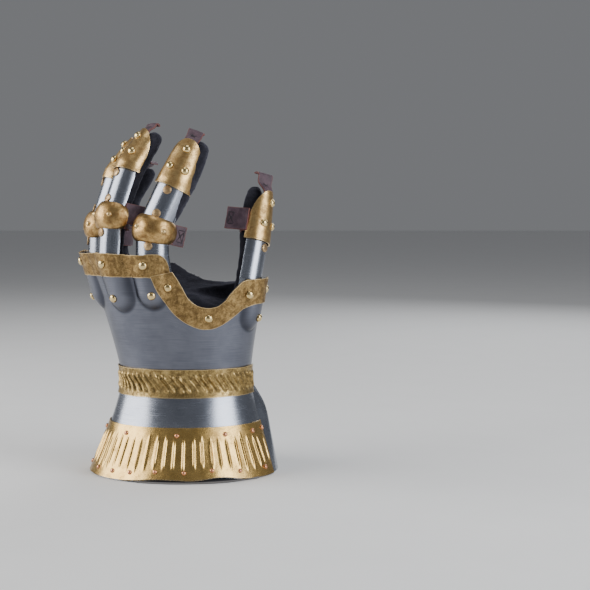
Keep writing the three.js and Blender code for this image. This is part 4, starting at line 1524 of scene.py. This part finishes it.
# Upper edge of the palm: levels at the fingers, at the thumb and in the notch between them, and the saddle
# that rises behind
palmEdge = {
    "fingers": 0.78,
    "thumb": 0.58,
    "notch": 0.5,
    "notchAngle": 21.0,
    "notchHalf": 32.0,
    "saddle": 0.14,
    "saddleAngle": 205.0,
    "saddleWidth": 38.0,
    "waves": 0.04,
}


def palmTop(angle):
    wrapped = angle - 360.0 if angle > 180.0 else angle
    across = min(1.0, abs(wrapped - palmEdge["notchAngle"]) / palmEdge["notchHalf"])
    notch = math.cos(across * math.pi / 2.0) ** 2
    thumbSide = smoothstep(wrapped, 20.0, 45.0) * (1.0 if wrapped < 100.0 else 0.0)
    behind = math.exp(-(((angle % 360.0) - palmEdge["saddleAngle"]) / palmEdge["saddleWidth"]) ** 2)
    waves = palmEdge["waves"] * wobble((wrapped * 0.1, 0.0, 0.0), 3.0, 4.0)
    saddle = (palmEdge["saddle"] * behind + waves) * (1.0 - notch)
    top = lerp(palmEdge["fingers"], palmEdge["thumb"], thumbSide)
    return handLevel(lerp(top, palmEdge["notch"], notch) + saddle)


# A closed shape through rings of points, with a point in the middle of each end
def loftPoints(rings, firstCentre, lastCentre):
    count = len(rings[0])
    points = [point for ring in rings for point in ring] + [firstCentre, lastCentre]
    faces = ringFaces(len(rings), count)
    first, last = len(points) - 2, (len(rings) - 1) * count
    for i in range(count):
        k = (i + 1) % count
        faces.append((k, i, first))
        faces.append((last + i, last + k, first + 1))
    return points, faces


def palmShape():
    angles = spaced(-120.0, 240.0, 72)[:-1]
    rings = []
    for share in spaced(0.0, 1.0, 40):
        ring = []
        for angle in angles:
            height = lerp(gloveShape["hem"], palmTop(angle), share)
            ring.append(glovePalmPoint(angle + 360.0 if angle < -115.0 else angle, height))
        rings.append(ring)
    top = planAt(handLevel(0.7))
    floorCentre = Vector((0.0, 0.0, gloveShape["hem"]))
    return loftPoints(rings, floorCentre, Vector((top["x"], top["y"] - 8.0, handLevel(0.7))))


def gloveFingerShape(path):
    last = path["last"]
    stations = spaced(0.0, last - 1.0, 12 * (last - 1)) + spaced(last - 0.95, last, 14)
    stations += [last + 0.04, last + 0.08, last + 0.11]
    sideways, inwards = gloveSlide.get(path["name"], (0.0, 0.0))
    rings = []
    for station in stations:
        end = clamp((station - last) / 0.12, 0.0, 1.0)
        shrink = math.sqrt(max(0.05, 1.0 - end * end))
        place = frameAt(path, station, 0.1)
        centre = place["origin"]
        slide = (place["side"] * sideways - place["back"] * inwards) * smoothstep(station, 1.3, last - 0.6)
        ring = [sleevePoint(path, station, angle, 0.0, 0.1) for angle in spaced(0.0, 360.0, 28)[:-1]]
        rings.append([centre + (point - centre) * shrink + slide for point in ring])
    return loftPoints(rings, path["joints"][0].copy(), frameAt(path, last + 0.12)["origin"])


# Makes a piece's modifiers part of its mesh
def appliedMesh(piece):
    graph = bpy.context.evaluated_depsgraph_get()
    mesh = bpy.data.meshes.new_from_object(piece.evaluated_get(graph))
    piece.modifiers.clear()
    piece.data = mesh


def relaxed(piece, iterations):
    relax = piece.modifiers.new("relax", "SMOOTH")
    relax.factor = 0.5
    relax.iterations = iterations


# Hollows and creases of the suede: how deep they are pressed in and how far apart they lie
creases = {
    "hollow": 0.7,
    "hollowSize": 15.0,
    "crease": 0.5,
    "creaseSize": 9.0,
    "creaseHalf": 0.25,
    "fine": 0.2,
    "fineSize": 3.2,
    "floor": 1.4,
}


# Opens the glove at the floor and presses its hollows and creases in
def creased(piece):
    shaped = bmesh.new()
    shaped.from_mesh(piece.data)
    low = creases["floor"] * mm
    floor = [face for face in shaped.faces if face.calc_center_median().z < low and face.normal.z < -0.5]
    bmesh.ops.delete(shaped, geom=floor, context="FACES")
    shaped.normal_update()
    for vertex in shaped.verts:
        place = vertex.co / mm
        hollow = 0.5 + 0.5 * wobble(place, creases["hollowSize"], 3.0)
        away = abs(wobble((place.x * 0.6, place.y * 0.6, place.z * 1.5), creases["creaseSize"], 8.0))
        crease = max(0.0, creases["creaseHalf"] - away) / creases["creaseHalf"]
        fine = 0.5 + 0.5 * wobble(place, creases["fineSize"], 1.0)
        inward = creases["hollow"] * hollow + creases["crease"] * crease + creases["fine"] * fine
        vertex.co -= vertex.normal * inward * mm
    shaped.to_mesh(piece.data)
    shaped.free()


def glove(paths):
    piece = bundle("glove_suede", [palmShape()] + [gloveFingerShape(path) for path in paths])
    remesh = piece.modifiers.new("skin", "REMESH")
    remesh.mode = "VOXEL"
    remesh.voxel_size = gloveShape["voxel"] * mm
    remesh.use_smooth_shade = True
    relaxed(piece, gloveShape["relax"])
    appliedMesh(piece)
    creased(piece)
    wall = piece.modifiers.new("wall", "SOLIDIFY")
    wall.thickness = gloveShape["wall"] * mm
    wall.offset = -1.0
    wall.thickness_clamp = 1.3
    wall.use_thickness_angle_clamp = True
    relaxed(piece, gloveShape["settle"])
    appliedMesh(piece)
    setSmooth(piece.data)
    dress(piece, "glove", "dark_suede")


# Hem of the glove where it shows under the lifted rim of the cuff. It hangs down inside the plates and turns
# out at the share turn of its width.
hemShape = {
    "first": -34.0,
    "last": 58.0,
    "top": 14.0,
    "inside": -4.6,
    "edge": -2.6,
    "turn": 0.6,
    "floor": 0.25,
    "thick": 0.9,
    "inward": 0.7,
}


def gloveHem():
    first, last, turn = hemShape["first"], hemShape["last"], hemShape["turn"]

    def pointAt(angle, share, side):
        ends = smoothstep(angle, first, first + 10.0) * (1.0 - smoothstep(angle, last - 8.0, last))
        wave = 0.5 + 0.5 * wobble((angle * 0.4, 0.0, 0.0), 3.5, 6.0)
        under = 0.55 * (rimLift(angle) + 0.35)
        if share < turn:
            height = lerp(hemShape["top"], under, share / turn)
            offset = lerp(hemShape["inside"], hemShape["edge"], share / turn)
        else:
            reach = lerp(hemShape["edge"], 0.5 + 2.2 * wave, ends)
            height = lerp(under, hemShape["floor"], (share - turn) / (1.0 - turn))
            offset = lerp(hemShape["edge"], reach, (share - turn) / (1.0 - turn))
        point = plainShellPoint(angle, max(height, 0.0), offset)
        point.z = height + (0.0 if side else hemShape["thick"])
        return point - levelWay(angle) * (0.0 if side else hemShape["inward"])

    piece = sheet("glove_hem", spaced(first, last, 150), spaced(0.0, 1.0, 20), pointAt, bevels["hem"])
    dress(piece, None, "suede_hem")


# Pale floor and soft studio light, in metres
floorShape = {"half": 6.0, "drop": 0.0002}
lightColumns = ("name", "place", "aim", "size", "power", "colour")
lightRows = [
    ("left", (-1.15, -0.15, 0.6), (0.0, 0.0, 0.12), (1.3, 0.9), 20.0, (1.0, 0.99, 0.97)),
    ("right", (1.0, -0.62, 0.55), (0.0, 0.0, 0.12), (0.7, 0.9), 12.0, (0.96, 0.98, 1.0)),
    ("top", (0.1, 0.0, 1.5), (0.0, 0.0, 0.1), (1.0, 0.8), 5.0, (1.0, 1.0, 1.0)),
    ("rear", (0.6, 1.2, 0.8), (0.0, 0.0, 0.15), (0.8, 0.8), 6.0, (0.96, 0.98, 1.0)),
]
skyLight = {"colour": (0.8, 0.82, 0.86, 1.0), "strength": 0.22}


def studioLight(light):
    data = bpy.data.lights.new(light["name"], "AREA")
    data.shape = "RECTANGLE"
    data.size, data.size_y = light["size"]
    data.energy = light["power"]
    data.color = light["colour"]
    lamp = bpy.data.objects.new(light["name"], data)
    lamp.location = light["place"]
    aim = Vector(light["aim"]) - Vector(light["place"])
    lamp.rotation_euler = aim.to_track_quat("-Z", "Y").to_euler()
    bpy.context.scene.collection.objects.link(lamp)


def studio():
    half = floorShape["half"]
    corners = [(-half, -half), (half, -half), (half, half), (-half, half)]
    mesh = bpy.data.meshes.new("floor")
    mesh.from_pydata([(x, y, 0.0) for x, y in corners], [], [(0, 1, 2, 3)])
    floor = bpy.data.objects.new("floor", mesh)
    floor.location.z = -floorShape["drop"]
    bpy.context.scene.collection.objects.link(floor)
    floor.data.materials.append(paint("floor"))
    for row in lightRows:
        studioLight(dict(zip(lightColumns, row)))
    world = bpy.data.worlds.new("studio")
    world.use_nodes = True
    background = world.node_tree.nodes["Background"]
    background.inputs["Color"].default_value = skyLight["colour"]
    background.inputs["Strength"].default_value = skyLight["strength"]
    bpy.context.scene.world = world


studio()
print("studio set")
handPlate()
innerCuffPlate()
print("plates made")
cuffBorder()
copperRivets()
wristBand()
print("border and wrist band made")
fingerBand()
thumbBand()
knuckleRivets()
print("bands made")
paths = [digitPath(digit) for digit in digits]
for path in paths:
    proximalPlate(path)
    if not path["isThumb"]:
        knuckleCup(path)
        middlePlate(path)
    tipPlate(path)
    fingerStrap(path)
    loopStrap(path)
for row in flapRows:
    flap = dict(zip(flapColumns, row))
    strapFlap(next(path for path in paths if path["name"] == flap["digit"]), flap)
dress(bundle("strap_stitches", stitches), None, "thread")
print("digits made")
glove(paths)
gloveHem()
print("glove made")
